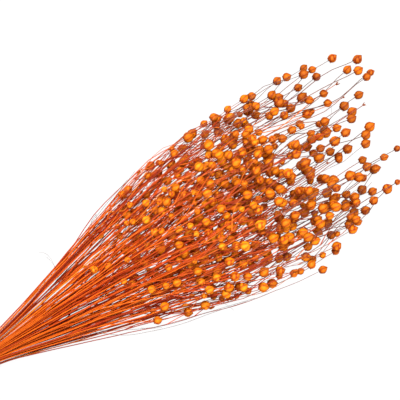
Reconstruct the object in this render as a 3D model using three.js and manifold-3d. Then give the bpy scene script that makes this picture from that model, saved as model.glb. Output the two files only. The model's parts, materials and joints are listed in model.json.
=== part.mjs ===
// A bunch of dried flax, dyed orange, tied with twine and lying on a surface.
// Millimetres. The origin is under the twine tie, on the surface that the bunch lies on.
// +X runs along the stems from the tie to the seed bolls, +Y across the bunch and +Z up.

import * as THREE from "three";
import { ConvexGeometry } from "three/addons/geometries/ConvexGeometry.js";
import { mergeVertices } from "three/addons/utils/BufferGeometryUtils.js";
import Module from "manifold-3d";

const wasm = await Module();
wasm.setup();

// The twine tie
const TWINE_THICKNESS = 2.4;
const TWINE_TURNS = 3;
const TIE_FACETS = 16;
const TIE_INNER_RADIUS = 13.2;
const TIE_OUTER_RADIUS = TIE_INNER_RADIUS + TWINE_THICKNESS;
const WAIST_HEIGHT = TIE_OUTER_RADIUS * Math.cos(Math.PI / TIE_FACETS);
const KNOT_RADIUS = 3.4;
const KNOT_ACROSS = 1.5;
const TAIL_RADIUS = 1.15;

// The stems: pairs that fork from one root, laid like bricks where the tie holds them
const SPRAYS = 59;
const COLUMN_PITCH = 3.4;
const ROW_PITCH = 2.1;
const PAIR_OFFSET = 0.8;
const WAIST_REACH = 6;
const FORK = -62;
const STEM_RADIUS_WAIST = 0.82;
const STEM_RADIUS_TIP = 0.55;
const STEM_STATIONS = [-WAIST_REACH, WAIST_REACH, 75, 145, 220, 300];
const CUT_NEAR = -98;
const CUT_FAR = -118;
const CUT_SPLAY = 0.22;
const SECTION_ROLL = 0.1;

// The fan of the bunch above the tie
const FAN_LENGTH = 333;
const FAN_POWER = 1.2;
const WAIST_HALF_WIDTH = 12.2;
const HEAD_HALF_WIDTH = 84;
const HEAD_TOP = 88;
const HEAD_EDGE_TOP = 27;
const FLOOR_LAYER = 4.3;
const EDGE_LIFT = 3;
const LEVEL_STRETCH = 1.25;
const REACH_MIDDLE = 398;
const REACH_LOST_AT_EDGE = 78;

// How far a stem may wander from its straight course
const BOW_ACROSS = 7;
const BOW_UP = 6;
const WAVE = 4;

// The seed bolls and the thin stalks that carry them
const BOLLS = 250;
const BOLL_RADIUS_LEAST = 3.3;
const BOLL_RADIUS_MOST = 4.3;
const BOLL_FULLNESS = 1.05;
const BEAK_REACH = 1.3;
const LET_DOWN_FROM = 1.4;
const STALK_RADIUS = 0.45;
const ROOT_RADIUS = 0.26;
const STALK_SHORTEST = 20;
const STALK_LONGEST = 60;
const STALK_OFFSET_MOST = 24;

// The clear space between pieces, and how it is looked for
const CLEARANCE = 0.45;
const PLANE_STEP = 5;
const ATTEMPTS = 300;
const SEED = 20422;

// The bolls that stand out at the bunch's edge: along, across, radius
const EDGE_BOLLS = [
  [413, 70, 3.7], [430, 57, 3.8], [419, 54, 3.5], [425, 48, 3.9], [436, 41, 2.9],
  [429, 39, 3.4], [416, 29, 3.6], [392, 63, 3.6], [390, 70, 3.1], [384, 75, 3.1],
  [381, 69, 4.0], [399, 27, 4.1], [401, 19, 4.0], [396, 14, 3.8], [409, -1, 4.2],
  [400, -5, 4.0], [385, 6, 3.8], [372, 15, 4.5], [418, -30, 2.7], [405, -31, 3.1],
  [394, -36, 3.6], [382, -8, 4.2], [369, -29, 4.3], [381, -38, 3.1], [393, -57, 4.3],
  [403, -56, 2.4], [382, -53, 3.6], [376, -59, 3.6], [367, -64, 3.8], [356, -70, 3.1],
  [347, -72, 3.7], [334, -69, 2.4], [325, -82, 3.4], [306, -90, 3.4], [303, -78, 3.4],
  [288, -81, 2.9], [238, -72, 3.1], [236, -66, 4.0], [220, -63, 3.4], [202, -55, 2.4],
  [211, -52, 3.6], [185, 62, 3.6], [214, 65, 3.1], [223, 62, 3.4], [179, 51, 4.0],
  [250, 70, 3.6], [245, 73, 2.4], [264, 76, 4.5], [292, 79, 3.6], [307, 79, 3.1],
  [303, 71, 4.3], [324, 79, 3.6], [347, 69, 3.6], [359, 78, 3.6], [367, 76, 3.6],
  [372, 63, 3.4],
];

const stemFinish = new THREE.MeshStandardMaterial({
  color: "#c25a22",
  roughness: 0.75,
  metalness: 0,
});
const twineFinish = new THREE.MeshStandardMaterial({
  color: "#b99a6b",
  roughness: 0.95,
  metalness: 0,
});

// A seeded draw, the same on every run
function makeDraw(seed) {
  let state = seed;
  return () => {
    state = (state * 1664525 + 1013904223) % 4294967296;
    return state / 4294967296;
  };
}

const draw = makeDraw(SEED);

function between(low, high) {
  return low + (high - low) * draw();
}

// How far the bunch has opened at a distance along it, from 0 in the tie to 1
function fan(along) {
  const share = Math.min(1, Math.max(0, (along - WAIST_REACH) / (FAN_LENGTH - WAIST_REACH)));
  return Math.pow(Math.sin((share * Math.PI) / 2), FAN_POWER);
}

function halfWidth(along) {
  return WAIST_HALF_WIDTH + (HEAD_HALF_WIDTH - WAIST_HALF_WIDTH) * fan(along);
}

// The lowest and highest a stem may stand in the head; side runs from -1 to 1 across it
function headFloor(side) {
  return FLOOR_LAYER + EDGE_LIFT * Math.pow(Math.min(1, Math.abs(side)), 4);
}

function headTop(side) {
  const inner = Math.max(0, 1 - side * side);
  return HEAD_EDGE_TOP + (HEAD_TOP - HEAD_EDGE_TOP) * Math.pow(inner, 0.6);
}

// How far along the random tips may lie
function reach(side) {
  return REACH_MIDDLE - REACH_LOST_AT_EDGE * Math.pow(Math.abs(side), 3);
}

// Where each pair of stems goes through the tie, nearest the middle first, then by column
function waistSites() {
  const sites = [];
  for (let row = -6; row <= 6; row += 1) {
    for (let column = -5; column <= 5; column += 1) {
      const across = (column + (row % 2 === 0 ? 0 : 0.5)) * COLUMN_PITCH;
      const up = row * ROW_PITCH;
      const outermost = Math.abs(across) + PAIR_OFFSET;
      sites.push({ across, up, spread: outermost * outermost + up * up });
    }
  }
  sites.sort((a, b) => a.spread - b.spread || a.across - b.across || a.up - b.up);
  const kept = sites.slice(0, SPRAYS);
  kept.sort((a, b) => a.across - b.across || a.up - b.up);
  return kept;
}

// The tip of each stem: the bolls at the edge, then the rest at random inside
function stemTips() {
  const tips = EDGE_BOLLS.map(([along, across, radius]) => ({
    along,
    side: across / halfWidth(along),
    radius,
    fixed: true,
  }));
  while (tips.length < 2 * SPRAYS) {
    const side = between(-0.88, 0.88);
    const along = 190 + between(0, 110) + between(0, 100);
    const radius = between(BOLL_RADIUS_LEAST, BOLL_RADIUS_MOST);
    if (along < reach(side)) {
      tips.push({ along, side, radius, fixed: false });
    }
  }
  tips.sort((a, b) => a.side - b.side || a.along - b.along);
  return tips;
}

// Stems keep their order across the bunch, so they fan out without crossing. In a column
// of sites the longer stems tend to lie lower, and the short ones show on top.
function plantStems() {
  const sites = waistSites();
  const tips = stemTips();
  const stems = [];
  let first = 0;
  while (first < sites.length) {
    let last = first;
    while (last < sites.length && sites[last].across === sites[first].across) {
      last += 1;
    }
    const count = last - first;
    for (const hand of [0, 1]) {
      const start = 2 * first + hand * count;
      const chosen = tips.slice(start, start + count).map((tip) => ({
        ...tip,
        rank: 0.4 * (tip.along / REACH_MIDDLE) + 0.6 * draw(),
      }));
      chosen.sort((a, b) => b.rank - a.rank);
      chosen.forEach((tip, index) => {
        const site = sites[first + index];
        const across = site.across;
        const columnHeight = 2 * Math.sqrt(WAIST_HALF_WIDTH * WAIST_HALF_WIDTH - across * across);
        const level = 0.5 + (LEVEL_STRETCH * site.up) / columnHeight;
        stems.push({ ...tip, site, level, hand, spray: first + index });
      });
    }
    first = last;
  }
  return stems;
}

// The threads, which are stems and stalks, and the bolls that have found their place
const threads = [];
const bolls = [];

// Where a thread is at a given distance along the bunch, with its slopes and radius
function threadAt(thread, along) {
  const { points, radii } = thread;
  if (along < points[0][0] || along > points[points.length - 1][0]) {
    return null;
  }
  let k = 1;
  while (k < points.length - 1 && points[k][0] < along) {
    k += 1;
  }
  const a = points[k - 1];
  const b = points[k];
  const length = b[0] - a[0];
  const share = (along - a[0]) / length;
  const slopeY = (b[1] - a[1]) / length;
  const slopeZ = (b[2] - a[2]) / length;
  return {
    y: a[1] + (b[1] - a[1]) * share,
    z: a[2] + (b[2] - a[2]) * share,
    slopeY,
    slopeZ,
    radius: radii[k - 1] + (radii[k] - radii[k - 1]) * share,
  };
}

// The distance between a thread's axis and a point beside it in the same cross plane
function gapAcross(here, y, z) {
  const dy = y - here.y;
  const dz = z - here.z;
  const lean = here.slopeY * dy + here.slopeZ * dz;
  const steep = 1 + here.slopeY * here.slopeY + here.slopeZ * here.slopeZ;
  return Math.sqrt(dy * dy + dz * dz - (lean * lean) / steep);
}

// Whether a thread is clear of the surface, the bolls and all threads but its own stem
function threadIsClear(thread, own) {
  const start = Math.ceil(Math.max(20, thread.points[0][0]) / PLANE_STEP) * PLANE_STEP;
  const end = thread.points[thread.points.length - 1][0];
  for (let along = start; along <= end; along += PLANE_STEP) {
    const here = threadAt(thread, along);
    if (here.z < here.radius || here.z > HEAD_TOP) {
      return false;
    }
    for (const other of threads) {
      if (other === own || (other.spray === thread.spray && along < 60)) {
        continue;
      }
      const there = threadAt(other, along);
      const apart = CLEARANCE * Math.min(1, along / 80);
      if (there && gapAcross(here, there.y, there.z) < here.radius + there.radius + apart) {
        return false;
      }
    }
  }
  return bolls.every((boll) => threadPassesBoll(thread, boll));
}

// Whether a thread passes clear of a boll's middle and of its beak
function threadPassesBoll(thread, boll) {
  const [x, y, z] = boll.centre;
  const here = threadAt(thread, x);
  if (here && gapAcross(here, y, z) < boll.radius + here.radius + CLEARANCE) {
    return false;
  }
  const beak = BEAK_REACH * boll.radius;
  const beyond = threadAt(thread, x + beak * boll.axis.x);
  if (!beyond) {
    return true;
  }
  const apart = gapAcross(beyond, y + beak * boll.axis.y, z + beak * boll.axis.z);
  return apart > 0.3 * boll.radius + beyond.radius + CLEARANCE;
}

// Whether a boll is clear of the surface, the threads and the other bolls
function bollIsClear(boll) {
  const [x, y, z] = boll.centre;
  if (z < boll.radius) {
    return false;
  }
  for (const other of bolls) {
    const dx = other.centre[0] - x;
    const dy = other.centre[1] - y;
    const dz = other.centre[2] - z;
    const apart = 1.12 * (other.radius + boll.radius) + CLEARANCE;
    if (dx * dx + dy * dy + dz * dz < apart * apart) {
      return false;
    }
  }
  return threads.every((other) => threadPassesBoll(other, boll));
}

// A boll whose middle is a thread's end and whose axis goes on along the thread
function bollAtEnd(points, radius, spray) {
  const end = points[points.length - 1];
  const before = points[points.length - 2];
  const axis = new THREE.Vector3(end[0] - before[0], end[1] - before[1], end[2] - before[2]);
  axis.normalize();
  return { centre: end, axis, radius, spray, spin: between(0, 2 * Math.PI) };
}

// A stem behind the tie, where the second of a pair forks from the first
function pointBehindTie(stem, along) {
  const hand = along === FORK ? 0 : stem.hand;
  const across = stem.site.across + (hand === 0 ? -PAIR_OFFSET : PAIR_OFFSET);
  const splay = 1 + (CUT_SPLAY * Math.max(0, -along - WAIST_REACH)) / -CUT_FAR;
  return [along, across * splay, WAIST_HEIGHT + stem.site.up * splay];
}

// The course of a stem from its cut end or fork through the tie to its tip
function stemPoints(stem, course) {
  const waistAcross = stem.site.across + (stem.hand === 0 ? -PAIR_OFFSET : PAIR_OFFSET);
  const waistUp = WAIST_HEIGHT + stem.site.up;
  const headAcross = course.side * HEAD_HALF_WIDTH;
  const low = headFloor(course.side);
  const headUp = low + (headTop(course.side) - low) * Math.min(1, Math.max(0, course.level));
  const stations = STEM_STATIONS.filter((along) => along < course.along - 25);
  const start = stem.hand === 0 ? course.cut : FORK;
  return [start, ...stations, course.along].map((along) => {
    if (along < 0) {
      return pointBehindTie(stem, along);
    }
    const open = fan(along);
    const share = along / course.along;
    const bow = Math.sin(Math.PI * share) * open * open;
    const wave = Math.sin(2 * Math.PI * share) * open * open;
    const y = waistAcross + (headAcross - waistAcross) * open + course.bowY * bow + course.waveY * wave;
    const z = waistUp + (headUp - waistUp) * open + course.bowZ * bow + course.waveZ * wave;
    return [along, y, z];
  });
}

// Stems get thinner towards their tips
function stemRadii(points) {
  const tip = points[points.length - 1][0];
  return points.map(([along]) => {
    if (along === FORK) {
      return ROOT_RADIUS;
    }
    const share = Math.max(0, along - WAIST_REACH) / (tip - WAIST_REACH);
    return STEM_RADIUS_WAIST + (STEM_RADIUS_TIP - STEM_RADIUS_WAIST) * share;
  });
}

// Draws a stem's course, with more freedom each time, until it and its boll are clear
function growStem(stem) {
  for (let attempt = 0; attempt < ATTEMPTS; attempt += 1) {
    const freedom = attempt / ATTEMPTS;
    const stray = (stem.fixed ? 0.02 : 0.08) * freedom;
    const course = {
      cut: between(CUT_FAR, CUT_NEAR),
      along: stem.along + (stem.fixed ? 4 : 20) * between(-freedom, freedom),
      side: stem.side + between(-stray, stray),
      level: stem.level + between(-0.08, 0.08) + 0.5 * between(-freedom, freedom),
      bowY: between(-BOW_ACROSS, BOW_ACROSS),
      bowZ: between(-BOW_UP, BOW_UP),
      waveY: between(-WAVE, WAVE),
      waveZ: between(-WAVE, WAVE),
    };
    const points = stemPoints(stem, course);
    const thread = { spray: stem.spray, points, radii: stemRadii(points), main: true, hand: stem.hand };
    const boll = bollAtEnd(points, stem.radius, stem.spray);
    if (threadIsClear(thread, null) && bollIsClear(boll)) {
      threads.push(thread);
      bolls.push(boll);
      return;
    }
  }
  throw new Error("A stem found no clear course.");
}

// How thickly the bolls stand at a distance along the bunch
function bollShare(along) {
  const rise = Math.min(1, Math.max(0, (along - 120) / 130));
  const fall = Math.min(1, Math.max(0, (455 - along) / 110));
  return rise * rise * fall;
}

// Tries a side boll, on a stalk that leaves the stem at a slant and then turns along it
function growSideBoll(stem) {
  const tip = stem.points[stem.points.length - 1][0];
  const root = Math.min(between(0.4, 1) * tip, tip - 14);
  const length = between(STALK_SHORTEST, STALK_LONGEST);
  const along = root + length;
  const slant = Math.tan(between(0.18, 0.5));
  const offset = Math.min(STALK_OFFSET_MOST, length * slant);
  const turn = between(0, 2 * Math.PI);
  const radius = between(BOLL_RADIUS_LEAST, BOLL_RADIUS_MOST);
  if (draw() > bollShare(along)) {
    return;
  }
  const base = threadAt(stem, root);
  const y = base.y + base.slopeY * length + offset * Math.cos(turn);
  const z = base.z + base.slopeZ * length + offset * Math.sin(turn);
  const side = y / halfWidth(along);
  if (Math.abs(side) > 1.02 || along > reach(side) + 12 || z > headTop(side) * fan(along) + 4) {
    return;
  }
  const middle = [root + 0.3 * length, (base.y + y) / 2, (base.z + z) / 2];
  const points = [[root, base.y, base.z], middle, [along, y, z]];
  const thread = { spray: stem.spray, points, radii: [ROOT_RADIUS, STALK_RADIUS, STALK_RADIUS] };
  const boll = bollAtEnd(points, radius, stem.spray);
  if (threadIsClear(thread, stem) && bollIsClear(boll)) {
    threads.push(thread);
    bolls.push(boll);
  }
}

// A path that puts one ring of an extrusion on each of its points
class StationPath extends THREE.Curve {
  constructor(points, roll) {
    super();
    this.points = points.map(([x, y, z]) => new THREE.Vector3(x, y, z));
    this.roll = roll;
  }

  getPointAt(share) {
    return this.points[Math.round(share * (this.points.length - 1))];
  }

  computeFrenetFrames() {
    const tangents = this.points.map((point, k) => {
      const before = this.points[Math.max(0, k - 1)];
      const after = this.points[Math.min(this.points.length - 1, k + 1)];
      const arriving = point.clone().sub(before).normalize();
      const leaving = after.clone().sub(point).normalize();
      return arriving.add(leaving).normalize();
    });
    const up = new THREE.Vector3(0, 0, 1);
    const normals = tangents.map((tangent) => {
      const level = up.clone().cross(tangent).normalize();
      return level.applyAxisAngle(tangent, this.roll);
    });
    const binormals = tangents.map((tangent, k) => tangent.clone().cross(normals[k]));
    return { tangents, normals, binormals };
  }
}

// A three-sided thread through its points, thinner or thicker from ring to ring
function threadGeometry(points, radii, roll) {
  const corners = [0, 1, 2].map((k) => {
    const angle = (k * 2 * Math.PI) / 3;
    return new THREE.Vector2(Math.cos(angle), Math.sin(angle));
  });
  const section = new THREE.Shape(corners);
  const path = new StationPath(points, roll);
  const geometry = new THREE.ExtrudeGeometry(section, {
    steps: points.length - 1,
    extrudePath: path,
  });
  const place = geometry.getAttribute("position");
  const vertex = new THREE.Vector3();
  for (let v = 0; v < place.count; v += 1) {
    vertex.fromBufferAttribute(place, v);
    const distances = path.points.map((point) => point.distanceTo(vertex));
    const ring = distances.indexOf(Math.min(...distances));
    vertex.sub(path.points[ring]).multiplyScalar(radii[ring]).add(path.points[ring]);
    place.setXYZ(v, vertex.x, vertex.y, vertex.z);
  }
  return geometry;
}

// A seed boll of radius 1 along +Z: flat under its stalk, round, with a short beak
function bollGeometry() {
  const round = new THREE.IcosahedronGeometry(BOLL_FULLNESS, 0);
  const place = round.getAttribute("position");
  const corners = [];
  for (let v = 0; v < place.count; v += 1) {
    corners.push(new THREE.Vector3().fromBufferAttribute(place, v));
  }
  const underside = corners[0].clone().add(corners[1]).add(corners[2]).normalize();
  const turn = new THREE.Quaternion().setFromUnitVectors(underside, new THREE.Vector3(0, 0, -1));
  const outline = corners.map((corner) => corner.clone().applyQuaternion(turn));
  outline.push(new THREE.Vector3(0, 0, BEAK_REACH));
  return new ConvexGeometry(outline);
}

function bareGeometry(geometry) {
  const bare = geometry.clone();
  bare.deleteAttribute("normal");
  bare.deleteAttribute("uv");
  return bare;
}

function toSolid(geometry) {
  const merged = mergeVertices(bareGeometry(geometry), 1e-4);
  return new wasm.Manifold(
    new wasm.Mesh({
      numProp: 3,
      vertProperties: new Float32Array(merged.getAttribute("position").array),
      triVerts: new Uint32Array(merged.getIndex().array),
    }),
  );
}

function toMesh(solid, name, finish) {
  const { vertProperties, triVerts } = solid.getMesh();
  const geometry = new THREE.BufferGeometry();
  geometry.setAttribute("position", new THREE.BufferAttribute(vertProperties, 3));
  geometry.setIndex(new THREE.BufferAttribute(triVerts, 1));
  geometry.computeVertexNormals();
  const mesh = new THREE.Mesh(geometry, finish);
  mesh.name = name;
  return mesh;
}

const bollShape = bollGeometry();

// A boll in its place; one that all but touches the surface is let down onto it
function placedBoll(boll) {
  const upright = new THREE.Quaternion().setFromUnitVectors(new THREE.Vector3(0, 0, 1), boll.axis);
  const spin = new THREE.Quaternion().setFromAxisAngle(new THREE.Vector3(0, 0, 1), boll.spin);
  const place = new THREE.Matrix4().compose(
    new THREE.Vector3(...boll.centre),
    upright.multiply(spin),
    new THREE.Vector3(boll.radius, boll.radius, boll.radius),
  );
  const geometry = bollShape.clone().applyMatrix4(place);
  geometry.computeBoundingBox();
  const low = geometry.boundingBox.min.z;
  if (low < LET_DOWN_FROM) {
    geometry.translate(0, 0, -low);
  }
  return geometry;
}

// One node: a forked pair of stems with their stalks and bolls
function sprayMesh(spray) {
  let solid = null;
  for (const thread of threads.filter((one) => one.spray === spray)) {
    const roll = thread.main && thread.hand === 1 ? Math.PI : 0;
    const piece = toSolid(threadGeometry(thread.points, thread.radii, roll + SECTION_ROLL));
    solid = solid ? solid.add(piece) : piece;
  }
  for (const boll of bolls.filter((one) => one.spray === spray)) {
    solid = solid.add(toSolid(placedBoll(boll)));
  }
  const name = `spray_${String(spray + 1).padStart(2, "0")}`;
  return toMesh(solid, name, stemFinish);
}

// The tie: turns of twine side by side round the waist, flat where it meets the surface
function tieMesh() {
  const width = TWINE_THICKNESS * TWINE_TURNS;
  const crest = 0.45 * TWINE_THICKNESS;
  const groove = TIE_OUTER_RADIUS - 0.3 * TWINE_THICKNESS;
  const profile = [new THREE.Vector2(TIE_INNER_RADIUS, -width / 2)];
  for (let turn = 0; turn < TWINE_TURNS; turn += 1) {
    const middle = (turn - (TWINE_TURNS - 1) / 2) * TWINE_THICKNESS;
    profile.push(new THREE.Vector2(groove, middle - TWINE_THICKNESS / 2));
    profile.push(new THREE.Vector2(TIE_OUTER_RADIUS, middle - crest / 2));
    profile.push(new THREE.Vector2(TIE_OUTER_RADIUS, middle + crest / 2));
  }
  profile.push(new THREE.Vector2(groove, width / 2));
  profile.push(new THREE.Vector2(TIE_INNER_RADIUS, width / 2));
  profile.push(profile[0].clone());
  const ring = new THREE.LatheGeometry(profile, TIE_FACETS);
  ring.rotateY(Math.PI / TIE_FACETS);
  ring.rotateZ(-Math.PI / 2);
  ring.translate(0, 0, WAIST_HEIGHT);
  let solid = toSolid(ring);
  const top = WAIST_HEIGHT + TIE_OUTER_RADIUS;
  const knot = new THREE.IcosahedronGeometry(KNOT_RADIUS, 0);
  knot.scale(1.3, 1.15, 0.75);
  knot.translate(0, KNOT_ACROSS, top + 0.4);
  solid = solid.add(toSolid(knot));
  const tails = [
    [[0, KNOT_ACROSS, 0.6], [-9, 6, 2.4], [-19, 9.5, 0.6], [-31, 10.5, -1.6]],
    [[0, KNOT_ACROSS, 0.6], [-8, -4, 2.2], [-18, -7, 0.8], [-27, -7.5, -0.6]],
  ];
  for (const tail of tails) {
    const points = tail.map(([x, y, z]) => [x, y, top + z]);
    const radii = points.map(() => TAIL_RADIUS);
    solid = solid.add(toSolid(threadGeometry(points, radii, SECTION_ROLL)));
  }
  return toMesh(solid, "twine_tie", twineFinish);
}

// The bunch: the first stem of each pair, the short ones first, then the second, then side bolls
const stems = plantStems().sort((a, b) => a.hand - b.hand || a.along - b.along);
stems.forEach(growStem);
const stemThreads = threads.slice();
while (bolls.length < BOLLS) {
  growSideBoll(stemThreads[Math.floor(draw() * stemThreads.length)]);
}

const bunch = new THREE.Group();
bunch.add(tieMesh());
for (let spray = 0; spray < SPRAYS; spray += 1) {
  bunch.add(sprayMesh(spray));
}

export default bunch;
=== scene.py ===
"""The looks of a bunch of dried flax, dyed orange, tied with twine and lying on a pale floor.

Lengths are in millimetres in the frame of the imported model: +X runs along the stems from the tie
to the seed bolls, +Y across the bunch and +Z up. A piece turns to metres when its mesh is finished.
"""

import json
import logging
import math
from collections.abc import Callable
from dataclasses import dataclass, field
from enum import Enum

import bmesh
import bpy
import numpy as np
from mathutils import Matrix, Quaternion, Vector

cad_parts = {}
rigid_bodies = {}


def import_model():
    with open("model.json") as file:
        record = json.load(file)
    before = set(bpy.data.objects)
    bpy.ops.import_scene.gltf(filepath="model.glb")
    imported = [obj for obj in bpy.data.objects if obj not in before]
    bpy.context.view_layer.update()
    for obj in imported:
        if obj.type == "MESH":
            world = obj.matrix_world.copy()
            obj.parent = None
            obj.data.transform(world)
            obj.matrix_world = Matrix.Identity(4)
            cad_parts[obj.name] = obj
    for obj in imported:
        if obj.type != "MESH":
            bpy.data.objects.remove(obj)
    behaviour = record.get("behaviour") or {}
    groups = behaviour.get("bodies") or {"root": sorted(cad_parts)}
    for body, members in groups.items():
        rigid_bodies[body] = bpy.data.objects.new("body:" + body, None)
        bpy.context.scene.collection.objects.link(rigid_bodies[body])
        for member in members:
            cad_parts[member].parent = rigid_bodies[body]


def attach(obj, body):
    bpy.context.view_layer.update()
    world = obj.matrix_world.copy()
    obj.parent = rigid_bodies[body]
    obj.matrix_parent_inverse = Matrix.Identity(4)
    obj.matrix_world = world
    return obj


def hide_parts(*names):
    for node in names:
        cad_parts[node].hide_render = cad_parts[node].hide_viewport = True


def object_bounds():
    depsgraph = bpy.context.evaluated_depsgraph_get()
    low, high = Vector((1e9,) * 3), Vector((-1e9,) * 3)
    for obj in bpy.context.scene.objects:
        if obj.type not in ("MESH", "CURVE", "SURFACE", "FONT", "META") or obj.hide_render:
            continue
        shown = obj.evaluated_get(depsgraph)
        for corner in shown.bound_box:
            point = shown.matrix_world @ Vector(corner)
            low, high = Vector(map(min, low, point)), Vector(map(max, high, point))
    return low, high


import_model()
CAD_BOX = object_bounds()
LOG = logging.getLogger("flax")
MM = 0.001
UP = Vector((0.0, 0.0, 1.0))
SPRAY_SEED = 20422
TWIG_SEED = 707


class Draw:
    """A seeded draw of numbers, the same on every run."""

    STEP = 1664525
    SHIFT = 1013904223
    SPAN = 2 ** 32

    def __init__(self, seed: int) -> None:
        """Starts the draw from a seed."""
        self.state = seed

    def share(self) -> float:
        """Returns the next number from 0 to 1."""
        self.state = (self.state * self.STEP + self.SHIFT) % self.SPAN
        return self.state / self.SPAN

    def between(self, low: float, high: float) -> float:
        """Returns the next number from low to high."""
        return low + (high - low) * self.share()

    def around(self, spread: float) -> float:
        """Returns the next number up to spread on either side of zero."""
        return self.between(-spread, spread)

    def turn(self) -> float:
        """Returns the next angle in a full turn."""
        return self.between(0, 2 * math.pi)

    def one_of(self, threads: list) -> "Thread":
        """Returns one of some threads."""
        return threads[int(self.share() * len(threads))]


def held(value: float, low: float = 0.0, high: float = 1.0) -> float:
    """Returns a value, held between a least and a most."""
    return max(low, min(high, value))


def unit(way: np.ndarray) -> np.ndarray:
    """Returns a direction with its length made one."""
    return way / np.linalg.norm(way)


def mesh_data(mesh: bmesh.types.BMesh, name: str) -> bpy.types.Mesh:
    """Turns a mesh to data of some name and frees it."""
    data = bpy.data.meshes.new(name)
    mesh.to_mesh(data)
    mesh.free()
    return data


def add_object(name: str, data: bpy.types.ID) -> bpy.types.Object:
    """Adds an object with its data to the scene."""
    added = bpy.data.objects.new(name, data)
    bpy.context.scene.collection.objects.link(added)
    return added


# The form of the bunch


@dataclass(frozen=True)
class BunchForm:
    """The outline of the bunch from the tie to its furthest bolls.

    A side is a place across the bunch, from -1 at one edge to 1 at the other.
    """

    waist_reach: float = 6.0
    waist_height: float = 15.6 * math.cos(math.pi / 16)
    waist_half_width: float = 12.2
    fan_length: float = 333.0
    fan_power: float = 1.2
    head_half_width: float = 84.0
    head_top: float = 88.0
    head_edge_top: float = 27.0
    top_power: float = 0.6
    floor_layer: float = 4.3
    edge_lift: float = 3.0
    lift_power: float = 4.0
    reach_middle: float = 398.0
    reach_lost_at_edge: float = 78.0
    reach_power: float = 3.0
    side_most: float = 1.02

    def opening(self, along: float) -> float:
        """Returns how far the bunch has opened at a distance along it, from 0 in the tie to 1."""
        share = held((along - self.waist_reach) / (self.fan_length - self.waist_reach))
        return math.pow(math.sin((share * math.pi) / 2), self.fan_power)

    def half_width(self, along: float) -> float:
        """Returns half the width of the bunch at a distance along it."""
        return self.waist_half_width + (self.head_half_width - self.waist_half_width) * self.opening(along)

    def floor(self, side: float) -> float:
        """Returns the lowest that a stem may stand in the head."""
        return self.floor_layer + self.edge_lift * math.pow(min(1.0, abs(side)), self.lift_power)

    def top(self, side: float) -> float:
        """Returns the highest that a stem may stand in the head."""
        inner = max(0.0, 1 - side * side)
        return self.head_edge_top + (self.head_top - self.head_edge_top) * math.pow(inner, self.top_power)

    def reach(self, side: float) -> float:
        """Returns how far along the tips inside the bunch may lie."""
        return self.reach_middle - self.reach_lost_at_edge * math.pow(abs(side), self.reach_power)

    def holds(self, along: float, side: float, up: float, past_reach: float, past_top: float) -> bool:
        """Tells whether a place lies in the bunch.

        Args:
            along: Its distance along the bunch.
            side: Its side of the bunch.
            up: Its height.
            past_reach: How far it may lie past the tips inside the bunch.
            past_top: How far it may lie above the stems.

        Returns:
            Whether it lies in the bunch.
        """
        if abs(side) > self.side_most or along > self.reach(side) + past_reach:
            return False
        return up <= self.top(side) * self.opening(along) + past_top


@dataclass(frozen=True)
class Site:
    """Where a pair of stems goes through the tie."""

    across: float
    up: float


@dataclass(frozen=True)
class Tip:
    """Where a stem ends, and the size of the boll there. A fixed tip is one of the edge bolls."""

    along: float
    side: float
    radius: float
    fixed: bool


@dataclass(frozen=True)
class Course:
    """The free choices in a stem's way from its cut end to its tip."""

    cut: float
    along: float
    side: float
    level: float
    bow_across: float
    bow_up: float
    wave_across: float
    wave_up: float


@dataclass(frozen=True)
class StemPlan:
    """A stem before it is grown: its tip, its site in the tie and its level in the head."""

    tip: Tip
    site: Site
    level: float
    hand: int
    spray: int


class Thread:
    """A stem or a stalk: a line of stations with a radius at each, always going along the bunch."""

    PLANES = np.arange(20.0, 450.0, 5.0)
    STALK_POINTS = 3

    def __init__(
        self, spray: int, points: list, radii: list, plan: StemPlan | None = None,
        course: Course | None = None, parent: "Thread | None" = None,
    ) -> None:
        """Keeps the stations and measures the thread in the cross planes.

        Args:
            spray: The number of the spray that the thread belongs to.
            points: The stations, from the cut end or root to the tip.
            radii: The radius at each station.
            plan: A stem's plan; a branch or stalk has none.
            course: A stem's course; a branch or stalk has none.
            parent: The thread that a branch or stalk grows on.
        """
        self.spray = spray
        self.points = np.array(points, float)
        self.radii = np.array(radii, float)
        self.plan = plan
        self.course = course
        self.parent = parent
        self.rows = self.sample(self.PLANES)

    @property
    def tip(self) -> float:
        """Returns how far along the bunch the thread ends."""
        return float(self.points[-1][0])

    @property
    def is_stalk(self) -> bool:
        """Tells whether the thread is a short stalk with one bend, and not a stem or a branch."""
        return len(self.points) == self.STALK_POINTS

    def sample(self, along: np.ndarray) -> np.ndarray:
        """Measures the thread where it crosses planes.

        Args:
            along: The planes' distances along the bunch.

        Returns:
            Rows of across, up, slope across, slope up and radius, which are no numbers past the ends.
        """
        x = self.points[:, 0]
        k = np.searchsorted(x[1:-1], along, side="left") + 1
        a, b = self.points[k - 1], self.points[k]
        length = b[:, 0] - a[:, 0]
        share = (along - a[:, 0]) / length
        rows = np.stack([
            a[:, 1] + (b[:, 1] - a[:, 1]) * share,
            a[:, 2] + (b[:, 2] - a[:, 2]) * share,
            (b[:, 1] - a[:, 1]) / length,
            (b[:, 2] - a[:, 2]) / length,
            self.radii[k - 1] + (self.radii[k] - self.radii[k - 1]) * share,
        ])
        rows[:, (along < x[0]) | (along > x[-1])] = np.nan
        return rows

    def at(self, along: float) -> tuple:
        """Returns across, up, slope across, slope up and radius at one place along the bunch."""
        return tuple(float(value) for value in self.sample(np.array([along]))[:, 0])


class Growth(Enum):
    """What stands at the end of a thread."""

    BOLL = 0
    BUD = 1
    HUSK = 2


@dataclass
class Boll:
    """A seed boll, or the bud or empty husk in its place, with its axis along its stalk."""

    spray: int
    centre: np.ndarray
    axis: np.ndarray
    radius: float
    spin: float
    kind: Growth = Growth.BOLL


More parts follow.
